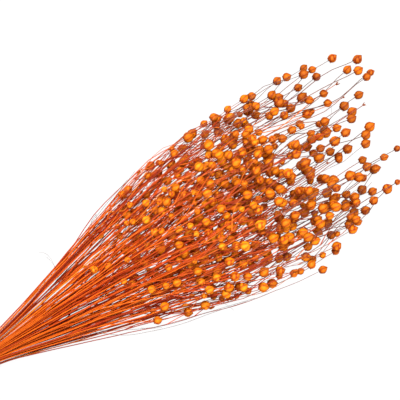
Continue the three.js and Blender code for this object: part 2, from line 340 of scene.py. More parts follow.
def gap_across(rows: np.ndarray, y: np.ndarray, z: np.ndarray) -> np.ndarray:
    """Measures from threads' axes to points in the same cross planes.

    Args:
        rows: The threads' rows, as Thread.sample gives them.
        y: The points' places across the bunch.
        z: The points' heights.

    Returns:
        The distances square to the threads.
    """
    dy, dz = y - rows[0], z - rows[1]
    lean = rows[2] * dy + rows[3] * dz
    steep = 1 + rows[2] * rows[2] + rows[3] * rows[3]
    return np.sqrt(dy * dy + dz * dz - (lean * lean) / steep)


class ClearSpace:
    """The threads and bolls that have found their place, and the tests that keep new ones clear."""

    BEAK_REACH = 1.3
    BEAK_RADIUS = 0.3
    BOLL_ROOM = 1.12
    SPRAY_MEETS_BEFORE = 60.0
    FULL_CLEARANCE_FROM = 80.0
    LOOK_ROUND = 8.0
    MOST_THREADS = 2000

    def __init__(self, form: BunchForm, clearance: float) -> None:
        """Starts empty.

        Args:
            form: The outline of the bunch.
            clearance: The clear space that pieces keep from each other.
        """
        self.form = form
        self.clearance = clearance
        self.threads: list[Thread] = []
        self.bolls: list[Boll] = []
        self.rows = np.full((self.MOST_THREADS, 5, len(Thread.PLANES)), np.nan)
        self.sprays = np.zeros(self.MOST_THREADS, int)

    def take(self, thread: Thread, boll: Boll | None) -> None:
        """Keeps a thread and its boll in their place.

        Args:
            thread: The thread.
            boll: What stands at its tip, if anything does.
        """
        self.rows[len(self.threads)] = thread.rows
        self.sprays[len(self.threads)] = thread.spray
        self.threads.append(thread)
        if boll:
            self.bolls.append(boll)

    def threads_near(self, boll: Boll) -> list[Thread]:
        """Finds the threads that are worth testing against a boll.

        Args:
            boll: The boll.

        Returns:
            The threads that run close to it.
        """
        planes, beak = Thread.PLANES, self.BEAK_REACH * boll.radius
        window = np.abs(planes - boll.centre[0]) < self.LOOK_ROUND + beak
        rows = self.rows[:len(self.threads)][:, :, window]
        gap = np.hypot(rows[:, 0] - boll.centre[1], rows[:, 1] - boll.centre[2])
        return [self.threads[k] for k in np.nonzero((gap < self.LOOK_ROUND + beak).any(axis=1))[0]]

    def boll_rows(self) -> tuple:
        """Returns the bolls' centres, axes and radii as arrays."""
        centres = np.array([boll.centre for boll in self.bolls])
        axes = np.array([boll.axis for boll in self.bolls])
        return centres, axes, np.array([boll.radius for boll in self.bolls])

    def passes(self, rows: np.ndarray, beyond: np.ndarray, centre: np.ndarray, axis: np.ndarray,
               radius: np.ndarray) -> np.ndarray:
        """Tells where threads pass clear of bolls' middles and beaks.

        Args:
            rows: The threads' rows at the middles, as Thread.sample gives them.
            beyond: Their rows at the beaks.
            centre: The middles.
            axis: The bolls' axes.
            radius: The bolls' radii.

        Returns:
            Whether each pair of thread and boll is clear.
        """
        gap = gap_across(rows, centre[..., 1], centre[..., 2])
        touches = gap < radius + rows[4] + self.clearance
        beak = self.BEAK_REACH * radius
        away = gap_across(beyond, centre[..., 1] + beak * axis[..., 1], centre[..., 2] + beak * axis[..., 2])
        passed = np.isnan(beyond[0]) | (away > self.BEAK_RADIUS * radius + beyond[4] + self.clearance)
        return ~touches & passed

    def thread_is_clear(self, thread: Thread, own: Thread | None) -> bool:
        """Tells whether a thread is clear of the floor, the bolls and the other threads.

        Args:
            thread: The thread.
            own: The thread that it grows on, which it may touch.

        Returns:
            Whether it is clear.
        """
        here = thread.rows
        if np.any((here[1] < here[4]) | (here[1] > self.form.head_top)):
            return False
        planes = Thread.PLANES
        apart = self.clearance * np.minimum(1.0, planes / self.FULL_CLEARANCE_FROM)
        there = self.rows[:len(self.threads)]
        close = gap_across(here[:, None, :], there[:, 0], there[:, 1]) < here[4] + there[:, 4] + apart
        same = self.sprays[:len(self.threads)] == thread.spray
        close &= ~(same[:, None] & (planes < self.SPRAY_MEETS_BEFORE))
        close[[other is own for other in self.threads]] = False
        if close.any():
            return False
        if not self.bolls:
            return True
        centres, axes, radii = self.boll_rows()
        rows = thread.sample(centres[:, 0])
        beyond = thread.sample(centres[:, 0] + self.BEAK_REACH * radii * axes[:, 0])
        return bool(self.passes(rows, beyond, centres, axes, radii).all())

    def boll_is_clear(self, boll: Boll) -> bool:
        """Tells whether a boll is clear of the floor, the threads and the other bolls.

        Args:
            boll: The boll.

        Returns:
            Whether it is clear.
        """
        centre, axis = boll.centre, boll.axis
        if centre[2] < boll.radius:
            return False
        if self.bolls:
            centres, _, radii = self.boll_rows()
            apart = self.BOLL_ROOM * (radii + boll.radius) + self.clearance
            if np.any(((centres - centre) ** 2).sum(axis=1) < apart * apart):
                return False
        at = np.array([centre[0]])
        tip = at + self.BEAK_REACH * boll.radius * axis[0]
        radius = np.array([boll.radius])
        return all(
            self.passes(other.sample(at), other.sample(tip), centre, axis, radius)[0]
            for other in self.threads_near(boll)
        )


@dataclass(frozen=True)
class StemSizes:
    """How the stems are packed in the tie, how thick they are and how freely they go.

    A pair of strays is an inner tip's and then a fixed tip's.
    """

    sprays: int = 59
    column_pitch: float = 3.4
    row_pitch: float = 2.1
    rows: int = 6
    columns: int = 5
    pair_offset: float = 0.8
    fork: float = -62.0
    radius_waist: float = 0.82
    radius_tip: float = 0.55
    stations: tuple = (-6.0, 6.0, 75.0, 145.0, 220.0, 300.0)
    last_gap: float = 25.0
    cut_near: float = -98.0
    cut_far: float = -118.0
    cut_splay: float = 0.22
    tip_side: float = 0.88
    tip_nearest: float = 190.0
    tip_spreads: tuple = (110.0, 100.0)
    rank_by_reach: float = 0.4
    rank_by_chance: float = 0.6
    level_stretch: float = 1.25
    level_strays: float = 0.08
    level_freedom: float = 0.5
    side_strays: tuple = (0.08, 0.02)
    along_strays: tuple = (20.0, 4.0)
    bow_across: float = 7.0
    bow_up: float = 6.0
    wave: float = 4.0
    attempts: int = 300


@dataclass(frozen=True)
class BollSizes:
    """The sizes of the seed bolls and of the stalks that carry them."""

    count: int = 250
    radius_least: float = 3.3
    radius_most: float = 4.3
    let_down_from: float = 1.4
    stalk_radius: float = 0.45
    root_radius: float = 0.26
    stalk_shortest: float = 20.0
    stalk_longest: float = 60.0
    stalk_offset_most: float = 24.0
    stalk_root_from: float = 0.4
    stalk_tip_gap: float = 14.0
    stalk_slant: tuple = (0.18, 0.5)
    stalk_bend: float = 0.3
    past_reach: float = 12.0
    past_top: float = 4.0
    thick_from: float = 120.0
    thick_over: float = 130.0
    thin_to: float = 455.0
    thin_over: float = 110.0


# The bolls that stand out at the bunch's edge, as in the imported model: along, across, radius
EDGE_BOLLS = (
    (413, 70, 3.7), (430, 57, 3.8), (419, 54, 3.5), (425, 48, 3.9), (436, 41, 2.9),
    (429, 39, 3.4), (416, 29, 3.6), (392, 63, 3.6), (390, 70, 3.1), (384, 75, 3.1),
    (381, 69, 4.0), (399, 27, 4.1), (401, 19, 4.0), (396, 14, 3.8), (409, -1, 4.2),
    (400, -5, 4.0), (385, 6, 3.8), (372, 15, 4.5), (418, -30, 2.7), (405, -31, 3.1),
    (394, -36, 3.6), (382, -8, 4.2), (369, -29, 4.3), (381, -38, 3.1), (393, -57, 4.3),
    (403, -56, 2.4), (382, -53, 3.6), (376, -59, 3.6), (367, -64, 3.8), (356, -70, 3.1),
    (347, -72, 3.7), (334, -69, 2.4), (325, -82, 3.4), (306, -90, 3.4), (303, -78, 3.4),
    (288, -81, 2.9), (238, -72, 3.1), (236, -66, 4.0), (220, -63, 3.4), (202, -55, 2.4),
    (211, -52, 3.6), (185, 62, 3.6), (214, 65, 3.1), (223, 62, 3.4), (179, 51, 4.0),
    (250, 70, 3.6), (245, 73, 2.4), (264, 76, 4.5), (292, 79, 3.6), (307, 79, 3.1),
    (303, 71, 4.3), (324, 79, 3.6), (347, 69, 3.6), (359, 78, 3.6), (367, 76, 3.6),
    (372, 63, 3.4),
)


def boll_at_end(points: list, radius: float, spray: int, spin: float) -> Boll:
    """Returns a boll whose middle is a thread's end and whose axis goes on along the thread."""
    end = np.array(points[-1], float)
    return Boll(spray, end, unit(end - np.array(points[-2], float)), radius, spin)


@dataclass
class SprayGrowth:
    """Grows the stems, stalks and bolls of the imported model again, in the same places.

    The rule and the order of its draws are the model's own, so that each finer piece stands
    where its node does.
    """

    form: BunchForm = field(default_factory=BunchForm)
    stems: StemSizes = field(default_factory=StemSizes)
    bolls: BollSizes = field(default_factory=BollSizes)
    clearance: float = 0.45
    draw: Draw = field(default_factory=lambda: Draw(SPRAY_SEED))

    def __post_init__(self) -> None:
        """Starts with nothing placed."""
        self.space = ClearSpace(self.form, self.clearance)

    def grow(self) -> ClearSpace:
        """Grows all stems, the short ones first, and then side bolls up to their number.

        Returns:
            The space with the threads and bolls in their places.
        """
        for plan in sorted(self.plans(), key=lambda plan: (plan.hand, plan.tip.along)):
            self.grow_stem(plan)
        stems = list(self.space.threads)
        while len(self.space.bolls) < self.bolls.count:
            self.grow_side_boll(self.draw.one_of(stems))
        return self.space

    def sites(self) -> list[Site]:
        """Returns the sites of the pairs in the tie, like bricks, the nearest to the middle kept."""
        sizes = self.stems
        found = []
        for row in range(-sizes.rows, sizes.rows + 1):
            for column in range(-sizes.columns, sizes.columns + 1):
                across = (column + (0.5 if row % 2 else 0)) * sizes.column_pitch
                found.append(Site(across, row * sizes.row_pitch))

        def spread(site: Site) -> tuple:
            """Returns how far a site's outer stem lies from the middle, and then the site's place."""
            outermost = abs(site.across) + sizes.pair_offset
            return outermost * outermost + site.up * site.up, site.across, site.up

        kept = sorted(found, key=spread)[:sizes.sprays]
        return sorted(kept, key=lambda site: (site.across, site.up))

    def tips(self) -> list[Tip]:
        """Returns where the stems end: the edge bolls, then the rest at random inside."""
        form, sizes, draw = self.form, self.stems, self.draw
        found = [
            Tip(along, across / form.half_width(along), radius, True)
            for along, across, radius in EDGE_BOLLS
        ]
        while len(found) < 2 * sizes.sprays:
            side = draw.around(sizes.tip_side)
            first, second = sizes.tip_spreads
            along = sizes.tip_nearest + draw.between(0, first) + draw.between(0, second)
            radius = draw.between(self.bolls.radius_least, self.bolls.radius_most)
            if along < form.reach(side):
                found.append(Tip(along, side, radius, False))
        return sorted(found, key=lambda tip: (tip.side, tip.along))

    def plans(self) -> list[StemPlan]:
        """Gives each site in the tie its two tips, in order across the bunch.

        Returns:
            The stems' plans, column by column.
        """
        sizes = self.stems
        sites, tips = self.sites(), self.tips()
        plans = []
        first = 0
        while first < len(sites):
            across = sites[first].across
            count = sum(site.across == across for site in sites)
            height = 2 * math.sqrt(self.form.waist_half_width * self.form.waist_half_width - across * across)
            for hand in (0, 1):
                start = 2 * first + hand * count
                ranked = []
                for tip in tips[start:start + count]:
                    reach = sizes.rank_by_reach * (tip.along / self.form.reach_middle)
                    ranked.append((reach + sizes.rank_by_chance * self.draw.share(), tip))
                ranked.sort(key=lambda pair: -pair[0])
                for index, (_, tip) in enumerate(ranked):
                    site = sites[first + index]
                    level = 0.5 + (sizes.level_stretch * site.up) / height
                    plans.append(StemPlan(tip, site, level, hand, first + index))
            first += count
        return plans

    def place(self, plan: StemPlan, course: Course, along: float) -> list[float]:
        """Returns a stem's place at a distance along the bunch, from the tie on.

        Args:
            plan: The stem's plan.
            course: The stem's course.
            along: The distance.

        Returns:
            The place along, across and up.
        """
        form = self.form
        offset = -self.stems.pair_offset if plan.hand == 0 else self.stems.pair_offset
        waist_across, waist_up = plan.site.across + offset, form.waist_height + plan.site.up
        low = form.floor(course.side)
        head_across = course.side * form.head_half_width
        head_up = low + (form.top(course.side) - low) * held(course.level)
        opening = form.opening(along)
        share = along / course.along
        bow = math.sin(math.pi * share) * opening * opening
        wave = math.sin(2 * math.pi * share) * opening * opening
        y = waist_across + (head_across - waist_across) * opening
        z = waist_up + (head_up - waist_up) * opening
        y = y + course.bow_across * bow + course.wave_across * wave
        z = z + course.bow_up * bow + course.wave_up * wave
        return [along, y, z]

    def place_behind_tie(self, plan: StemPlan, along: float, hand: int) -> list[float]:
        """Returns a stem's place behind the tie, where the bunch splays a little.

        Args:
            plan: The stem's plan.
            along: The distance along the bunch.
            hand: Which stem of the pair is meant.

        Returns:
            The place along, across and up.
        """
        offset = -self.stems.pair_offset if hand == 0 else self.stems.pair_offset
        reach = max(0.0, -along - self.form.waist_reach)
        splay = 1 + (self.stems.cut_splay * reach) / -self.stems.cut_far
        return [along, (plan.site.across + offset) * splay, self.form.waist_height + plan.site.up * splay]

    def stem_thread(self, plan: StemPlan, course: Course) -> Thread:
        """Returns the stem that a course gives, at the model's stations.

        Args:
            plan: The stem's plan.
            course: The stem's course.

        Returns:
            The stem.
        """
        sizes = self.stems
        stations = [along for along in sizes.stations if along < course.along - sizes.last_gap]
        start = course.cut if plan.hand == 0 else sizes.fork
        points = []
        for along in [start, *stations, course.along]:
            if along < 0:
                points.append(self.place_behind_tie(plan, along, 0 if along == sizes.fork else plan.hand))
            else:
                points.append(self.place(plan, course, along))
        waist = self.form.waist_reach
        radii = []
        for along, _, _ in points:
            share = max(0.0, along - waist) / (course.along - waist)
            thick = sizes.radius_waist + (sizes.radius_tip - sizes.radius_waist) * share
            radii.append(self.bolls.root_radius if along == sizes.fork else thick)
        return Thread(plan.spray, points, radii, plan=plan, course=course)

    def grow_stem(self, plan: StemPlan) -> None:
        """Draws a stem's course, with more freedom each time, until it and its boll are clear.

        Args:
            plan: The stem to grow.
        """
        sizes, draw, tip = self.stems, self.draw, plan.tip
        for attempt in range(sizes.attempts):
            freedom = attempt / sizes.attempts
            course = Course(
                cut=draw.between(sizes.cut_far, sizes.cut_near),
                along=tip.along + sizes.along_strays[tip.fixed] * draw.around(freedom),
                side=tip.side + draw.around(sizes.side_strays[tip.fixed] * freedom),
                level=(plan.level + draw.around(sizes.level_strays)
                       + sizes.level_freedom * draw.around(freedom)),
                bow_across=draw.around(sizes.bow_across),
                bow_up=draw.around(sizes.bow_up),
                wave_across=draw.around(sizes.wave),
                wave_up=draw.around(sizes.wave),
            )
            thread = self.stem_thread(plan, course)
            boll = boll_at_end(thread.points, tip.radius, plan.spray, draw.turn())
            if self.space.thread_is_clear(thread, None) and self.space.boll_is_clear(boll):
                self.space.take(thread, boll)
                return
        raise RuntimeError("A stem found no clear course.")

    def boll_share(self, along: float) -> float:
        """Returns how thickly the bolls stand at a distance along the bunch."""
        rise = held((along - self.bolls.thick_from) / self.bolls.thick_over)
        fall = held((self.bolls.thin_to - along) / self.bolls.thin_over)
        return rise * rise * fall

    def grow_side_boll(self, stem: Thread) -> None:
        """Tries a side boll on a stalk that leaves the stem at a slant and then turns along it.

        Args:
            stem: The stem that the stalk grows on.
        """
        sizes, draw, form = self.bolls, self.draw, self.form
        root = min(draw.between(sizes.stalk_root_from, 1) * stem.tip, stem.tip - sizes.stalk_tip_gap)
        length = draw.between(sizes.stalk_shortest, sizes.stalk_longest)
        along = root + length
        slant = math.tan(draw.between(*sizes.stalk_slant))
        offset = min(sizes.stalk_offset_most, length * slant)
        turn = draw.turn()
        radius = draw.between(sizes.radius_least, sizes.radius_most)
        if draw.share() > self.boll_share(along):
            return
        base_y, base_z, slope_y, slope_z, _ = stem.at(root)
        y = base_y + slope_y * length + offset * math.cos(turn)
        z = base_z + slope_z * length + offset * math.sin(turn)
        if not form.holds(along, y / form.half_width(along), z, sizes.past_reach, sizes.past_top):
            return
        middle = [root + sizes.stalk_bend * length, (base_y + y) / 2, (base_z + z) / 2]
        points = [[root, base_y, base_z], middle, [along, y, z]]
        radii = [sizes.root_radius, sizes.stalk_radius, sizes.stalk_radius]
        thread = Thread(stem.spray, points, radii, parent=stem)
        boll = boll_at_end(points, radius, stem.spray, draw.turn())
        if self.space.thread_is_clear(thread, stem) and self.space.boll_is_clear(boll):
            self.space.take(thread, boll)


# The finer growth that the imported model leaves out


# The dry husks and buds that stand out at the bunch's edge: along, across, kind
EDGE_HUSKS = (
    (405, 48, Growth.HUSK), (402, 34, Growth.HUSK), (414, 19, Growth.HUSK), (208, 71, Growth.BUD),
    (202, -68, Growth.BUD),
)

# The first bolls from the tie, which lie on top of the stems: along, across
EARLY_BOLLS = (
    (142, 13), (160, 9), (165, -25), (170, -20), (185, 62), (187, 50), (188, -16), (193, 31), (199, -15),
    (200, 44), (202, -56), (206, -42), (209, -52), (209, 30), (211, 39), (211, -23), (220, -63),
    (224, 39), (225, -3), (230, 42), (236, 14), (237, -68), (242, 30),
)

# The fibres that stand out at the bunch's edge, from root to tip: along, across
EDGE_FIBRES = (
    ((312, -52), (336, -50), (355, -45), (367, -43), (371, -45), (369, -48)),
    ((335, -62), (347, -59), (361, -53), (376, -48), (385, -45)),
    ((280, -62), (271, -67), (256, -66), (247, -60), (244, -51)),
    ((60, 17), (67, 20), (76, 26), (88, 32), (97, 33), (107, 35), (123, 41)),
    ((80, -18), (85, -23), (87, -29), (91, -33), (97, -31)),
    ((134, 38), (140, 42), (142, 47), (146, 49), (148, 55), (156, 59)),
    ((80, 17), (93, 22), (120, 37), (148, 52), (180, 64), (206, 74)),
    ((75, 16), (96, 27), (128, 45), (160, 59), (196, 71)),
    ((90, -24), (120, -47), (143, -57), (171, -66), (202, -72), (232, -79)),
    ((95, -27), (128, -46), (160, -60), (197, -69), (240, -80)),
)


@dataclass(frozen=True)
class TwigSizes:
    """How many slim stems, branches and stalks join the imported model's, and how they go.

    A pair gives the least and the most of a draw.
    """

    tries_each: int = 60
    tries_for_place: int = 600
    side_most: float = 0.97
    level_least: float = 0.03
    level_most: float = 0.97
    slim_stems: int = 34
    slim_tries: int = 80
    slim_site_tries: int = 60
    slim_site_gap: float = 1.2
    slim_half_column: float = 3.0
    slim_radius: float = 0.6
    slim_tip_nearest: float = 200.0
    slim_side_kept: float = 0.85
    slim_side_strays: float = 0.25
    slim_level_strays: float = 0.3
    slim_boll_radius: tuple = (2.6, 4.0)
    slim_bends: tuple = (8.0, 7.0, 5.0, 5.0)
    branches: int = 390
    branch_root: tuple = (60.0, 0.64)
    branch_length: tuple = (45.0, 180.0)
    branch_strays: float = 0.4
    branch_radii: tuple = (0.42, 0.3)
    husk_stalk: tuple = (60.0, 130.0)
    husk_level: tuple = (0.1, 0.8)
    near_side: float = 0.2
    root_gap: float = 5.0
    early_stalk: tuple = (22.0, 70.0)
    early_level: tuple = (0.82, 1.05)
    edge_gap: float = 4.0
    branch_step: float = 14.0
    outer_share: float = 0.12
    outer_from: float = 0.5
    outer_side: tuple = (0.86, 1.0)
    outer_bulge: tuple = (0.0, 0.16)
    early_root: float = 130.0
    early_side: float = 0.72
    outer_tip: tuple = (215.0, 330.0)
    siblings: int = 205
    sibling_length: tuple = (12.0, 38.0)
    sibling_offset: tuple = (6.0, 12.0)
    sibling_lag: float = 9.0
    sibling_least: float = 9.0
    sibling_root_gap: float = 2.0
    sibling_radius: float = 0.3
    sibling_past_top: float = 3.0
    boll_radius: tuple = (3.1, 4.2)
    small_boll_radius: tuple = (2.3, 3.1)
    small_boll_share: float = 0.25
    fullness: tuple = (
        (100, 0.2), (140, 0.75), (220, 1.0), (322, 0.95), (338, 0.3), (400, 0.12), (440, 0.0),
    )
    thin_from: float = 235.0
    thin_side: tuple = ((-0.85, -0.62), (0.25, 1.0))
    end_shares: tuple = ((0.1, None), (0.08, Growth.BUD), (0.05, Growth.HUSK))
    dry_radius: float = 0.5
    bend_room: float = 1.0


def in_packed_box(path: list, margin: float) -> bool:
    """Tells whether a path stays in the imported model's box, with a margin round each point."""
    low, high = (np.array(corner) / MM for corner in CAD_BOX)
    return bool(np.all((np.array(path) > low + margin) & (np.array(path) < high - margin)))


@dataclass
class TwigGrowth:
    """Grows slim stems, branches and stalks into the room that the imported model's sprays leave."""

    growth: SprayGrowth
    sizes: TwigSizes = field(default_factory=TwigSizes)
    draw: Draw = field(default_factory=lambda: Draw(TWIG_SEED))
    clearance: float = 0.0

    def grow(self) -> None:
        """Grows the slim stems, what has a place of its own, the branches and the sibling bolls."""
        space, sizes = self.growth.space, self.sizes
        space.clearance = self.clearance
        for number in range(sizes.slim_stems):
            self.grow_slim_stem(self.growth.stems.sprays + number)
        stems = [thread for thread in space.threads if thread.plan]
        for along, across, kind in EDGE_HUSKS:
            self.grow_to_place(stems, along, across, sizes.husk_level, sizes.husk_stalk, kind)
        for along, across in EARLY_BOLLS:
            self.grow_to_place(stems, along, across, sizes.early_level, sizes.early_stalk, Growth.BOLL)
        self.grow_many(sizes.branches, stems, self.grow_branch)
        self.grow_many(sizes.siblings, list(space.threads), self.grow_sibling)

    def grow_many(self, count: int, parents: list, grow: Callable[[Thread], bool]) -> None:
        """Tries growths on random threads until enough have found a clear place.

        Args:
            count: How many to grow.
            parents: The threads that they may grow on.
            grow: Tries one growth on a thread and tells whether it found a place.
        """
        grown = 0
        for _ in range(self.sizes.tries_each * count):
            grown += grow(self.draw.one_of(parents))
            if grown == count:
                return

    def free_site(self) -> Site | None:
        """Looks for room in the tie for one more stem.

        Returns:
            The roomiest of many places, or nothing where all are too close to the other stems.
        """
        offset = self.growth.stems.pair_offset
        taken = [
            (thread.plan.site.across + (offset if thread.plan.hand else -offset), thread.plan.site.up)
            for thread in self.growth.space.threads if thread.plan
        ]
        best, best_gap = None, self.sizes.slim_site_gap
        for _ in range(self.sizes.slim_site_tries):
            turn, reach = self.draw.turn(), math.sqrt(self.draw.share())
            radius = self.growth.form.waist_half_width * reach
            across, up = radius * math.cos(turn), radius * math.sin(turn)
            gap = min(math.hypot(across - y, up - z) for y, z in taken)
            if gap > best_gap:
                best, best_gap = Site(across, up), gap
        return best

    def grow_slim_stem(self, spray: int) -> None:
        """Tries one more stem, in a free site of the tie, until it and its boll are clear.

        Args:
            spray: The number of the stem's own spray.
        """
        site = self.free_site()
        if site is None:
            return
        growth, draw, sizes = self.growth, self.draw, self.sizes
        form, stems = growth.form, growth.stems
        site = Site(site.across + stems.pair_offset, site.up)
        reach, least = form.waist_half_width, sizes.slim_half_column
        height = 2 * math.sqrt(max(least * least, reach * reach - site.across * site.across))
        for _ in range(sizes.slim_tries):
            side = sizes.slim_side_kept * site.across / reach + draw.around(sizes.slim_side_strays)
            side = held(side, -sizes.side_most, sizes.side_most)
            along = draw.between(sizes.slim_tip_nearest, form.reach(side))
            tip = Tip(along, side, draw.between(*sizes.slim_boll_radius), False)
            level = 0.5 + stems.level_stretch * site.up / height + draw.around(sizes.slim_level_strays)
            plan = StemPlan(tip, site, level, 0, spray)
            course = Course(
                draw.between(stems.cut_far, stems.cut_near), tip.along, side, level,
                *(draw.around(bend) for bend in sizes.slim_bends),
            )
            thread = growth.stem_thread(plan, course)
            thread.radii = thread.radii * sizes.slim_radius
            boll = boll_at_end(thread.points, tip.radius, spray, draw.turn())
            if growth.space.thread_is_clear(thread, None) and growth.space.boll_is_clear(boll):
                growth.space.take(thread, boll)
                return

    def heights(self, along: float, side: float) -> tuple[float, float]:
        """Returns the lowest and highest place of the fan at a distance along it and a side.

        Args:
            along: The distance along the bunch.
            side: The side of the bunch.

        Returns:
            The lowest and the highest place.
        """
        form = self.growth.form
        opening, waist = form.opening(along), form.waist_half_width
        low, high = form.waist_height - waist, form.waist_height + waist
        return low + (form.floor(side) - low) * opening, high + (form.top(side) - high) * opening

    def grow_branch(self, parent: Thread) -> bool:
        """Tries one slender branch, which leaves its stem and wanders to a side and height of its own.

        Args:
            parent: The stem that the branch grows on.

        Returns:
            Whether the branch found a clear place.
        """
        draw, sizes, form = self.draw, self.sizes, self.growth.form
        root = draw.between(sizes.branch_root[0], sizes.branch_root[1] * parent.tip)
        length = draw.between(*sizes.branch_length)
        side, level = self.share_of_fan(parent, root)
        end_side = held(side + draw.around(sizes.branch_strays), -sizes.side_most, sizes.side_most)
        end_level = held(level + draw.around(sizes.branch_strays), sizes.level_least, sizes.level_most)
        bulge = 0.0
        if draw.share() < sizes.outer_share and abs(side) > sizes.outer_from:
            end_side = math.copysign(draw.between(*sizes.outer_side), side)
            bulge = draw.between(*sizes.outer_bulge) if side > 0 else 0.0
            length = draw.between(*sizes.outer_tip) - root
        elif abs(side) > sizes.early_side and root < sizes.early_root:
            return False
        if root + length > form.reach(min(1.0, abs(end_side))) - sizes.edge_gap:
            return False
        return self.settle(self.branch(parent, root, root + length, end_side, end_level, bulge))

    def grow_to_place(self, stems: list, along: float, across: float, levels: tuple, stalks: tuple,
                      end: Growth) -> None:
        """Grows a boll, husk or bud to a place of its own, on a branch of a stem that passes near.

        Args:
            stems: The stems that it may grow on.
            along: Its distance along the bunch.
            across: Its place across the bunch.
            levels: The lowest and highest level that it may stand at.
            stalks: The shortest and longest reach of its branch.
            end: What stands at the branch's tip.
        """
        draw, sizes = self.draw, self.sizes
        side = across / self.growth.form.half_width(along)
        for _ in range(sizes.tries_for_place):
            parent = draw.one_of(stems)
            root = along - draw.between(*stalks)
            level = draw.between(*levels)
            strays = abs(self.share_of_fan(parent, root)[0] - side)
            if parent.tip > root + sizes.root_gap and strays < sizes.near_side:
                if self.settle(self.branch(parent, root, along, side, level), end):
                    return

    def share_of_fan(self, thread: Thread, along: float) -> tuple[float, float]:
        """Returns where in the fan a thread passes a distance along the bunch.

        Args:
            thread: The thread.
            along: The distance.

        Returns:
            The side and the level, as shares of the fan's half width and height.
        """
        y, z = thread.at(along)[:2]
        side = y / self.growth.form.half_width(along)
        low, high = self.heights(along, side)
        return side, (z - low) / (high - low)

    def branch(self, parent: Thread, root: float, tip: float, side: float, level: float,
               bulge: float = 0.0) -> Thread:
        """Returns a branch that turns from its stem's side and level to its own as the fan opens.

        Args:
            parent: The stem that the branch grows on.
            root: How far along the bunch the branch leaves the stem.
            tip: How far along the bunch it ends.
            side: The side that it ends at.
            level: The level that it ends at.
            bulge: How far it bows to a side on its way.

        Returns:
            The branch.
        """
        sizes, form = self.sizes, self.growth.form
        first_side, first_level = self.share_of_fan(parent, root)
        count = max(Thread.STALK_POINTS, round((tip - root) / sizes.branch_step))
        points = []
        for k in range(count + 1):
            share = k / count
            turned = share * share * (3 - 2 * share)
            along = root + (tip - root) * share
            here = first_side + (side - first_side) * turned + bulge * math.sin(math.pi * share)
            low, high = self.heights(along, here)
            up = low + (high - low) * (first_level + (level - first_level) * turned)
            points.append([along, here * form.half_width(along), up])
        radii = list(np.linspace(*sizes.branch_radii, count + 1))
        return Thread(parent.spray, points, radii, parent=parent)

    def grow_sibling(self, parent: Thread) -> bool:
        """Tries a short stalk whose boll stands beside the boll of its parent.

        Args:
            parent: The stem or branch that the stalk grows on.

        Returns:
            Whether the stalk found a clear place.
        """
        draw, sizes, form = self.draw, self.sizes, self.growth.form
        first = float(parent.points[0][0]) + sizes.sibling_root_gap
        root = max(parent.tip - draw.between(*sizes.sibling_length), first)
        along = max(root + sizes.sibling_least, parent.tip + draw.around(sizes.sibling_lag))
        base_y, base_z, _, _, _ = parent.at(root)
        _, y, z = parent.points[-1]
        offset, turn = draw.between(*sizes.sibling_offset), draw.turn()
        y, z = y + offset * math.cos(turn), z + offset * math.sin(turn)
        if draw.share() > np.interp(along, *zip(*sizes.fullness)):
            return False
        side = y / form.half_width(along)
        if not form.holds(along, side, z, -sizes.edge_gap, sizes.sibling_past_top):
            return False
        bend = self.growth.bolls.stalk_bend
        middle = [root + bend * (along - root), (base_y + y) / 2, (base_z + z) / 2]
        points = [[root, base_y, base_z], middle, [along, y, z]]
        radii = [sizes.sibling_radius] * len(points)
        return self.settle(Thread(parent.spray, points, radii, parent=parent))

    def end_by_chance(self, chance: float) -> Growth | None:
        """Returns what stands at a tip that is left to chance: nothing, a bud, a husk or a boll.

        Args:
            chance: A draw from 0 to 1.

        Returns:
            What stands there.
        """
        most = 0.0
        for share, end in self.sizes.end_shares:
            most += share
            if chance < most:
                return end
        return Growth.BOLL

    def settle(self, thread: Thread, end: Growth | None = None) -> bool:
        """Keeps a thread, with what stands at its tip, if there is room for both.

        Args:
            thread: The branch or stalk to keep.
            end: What stands at its tip, where that isn't left to chance.

        Returns:
            Whether there was room.
        """
        draw, sizes, space = self.draw, self.sizes, self.growth.space
        chance, spin, along = draw.share(), draw.turn(), thread.tip
        small = draw.share() < sizes.small_boll_share
        radius = draw.between(*(sizes.small_boll_radius if small else sizes.boll_radius))
        if not end:
            fullness = np.interp(along, *zip(*sizes.fullness))
            if along > sizes.thin_from:
                side = thread.points[-1][1] / self.growth.form.half_width(along)
                fullness *= np.interp(side, *sizes.thin_side)
            if draw.share() > fullness:
                return False
            end = self.end_by_chance(chance)
        boll = None
        if end:
            boll = boll_at_end(thread.points, radius, thread.spray, spin)
            boll.kind, boll.radius = end, radius if end is Growth.BOLL else sizes.dry_radius * radius
        if not in_packed_box(thread.points, sizes.bend_room):
            return False
        if not space.thread_is_clear(thread, thread.parent):
            return False
        if boll and not (in_packed_box([boll.centre], boll.radius) and space.boll_is_clear(boll)):
            return False
        space.take(thread, boll)
        return True


# Finishes


def linear(colour: str) -> tuple[float, float, float, float]:
    """Turns an sRGB hex colour to linear red, green, blue and alpha."""
    parts = [int(colour[k:k + 2], 16) / 255 for k in (1, 3, 5)]
    return (*(c / 12.92 if c <= 0.04045 else ((c + 0.055) / 1.055) ** 2.4 for c in parts), 1.0)


def add_node(tree: bpy.types.NodeTree, kind: str, inputs: dict | None = None, stops: tuple = (),
             **settings: object) -> bpy.types.Node:
    """Adds a node with its settings, links and colour stops.

    Args:
        tree: The node tree to add it to.
        kind: The node's type name.
        inputs: Socket name or number to a value or to the socket that feeds it.
        stops: The places and hex colours of a colour ramp.
        settings: The node's own properties.

    Returns:
        The node.
    """
    node = tree.nodes.new(kind)
    for name, value in settings.items():
        setattr(node, name, value)
    for key, value in (inputs or {}).items():
        if isinstance(value, bpy.types.NodeSocket):
            tree.links.new(value, node.inputs[key])
        else:
            node.inputs[key].default_value = value
    for number, (place, colour) in enumerate(stops):
        elements = node.color_ramp.elements
        stop = elements[number] if number < 2 else elements.new(place)
        stop.position, stop.color = place, linear(colour)
    return node


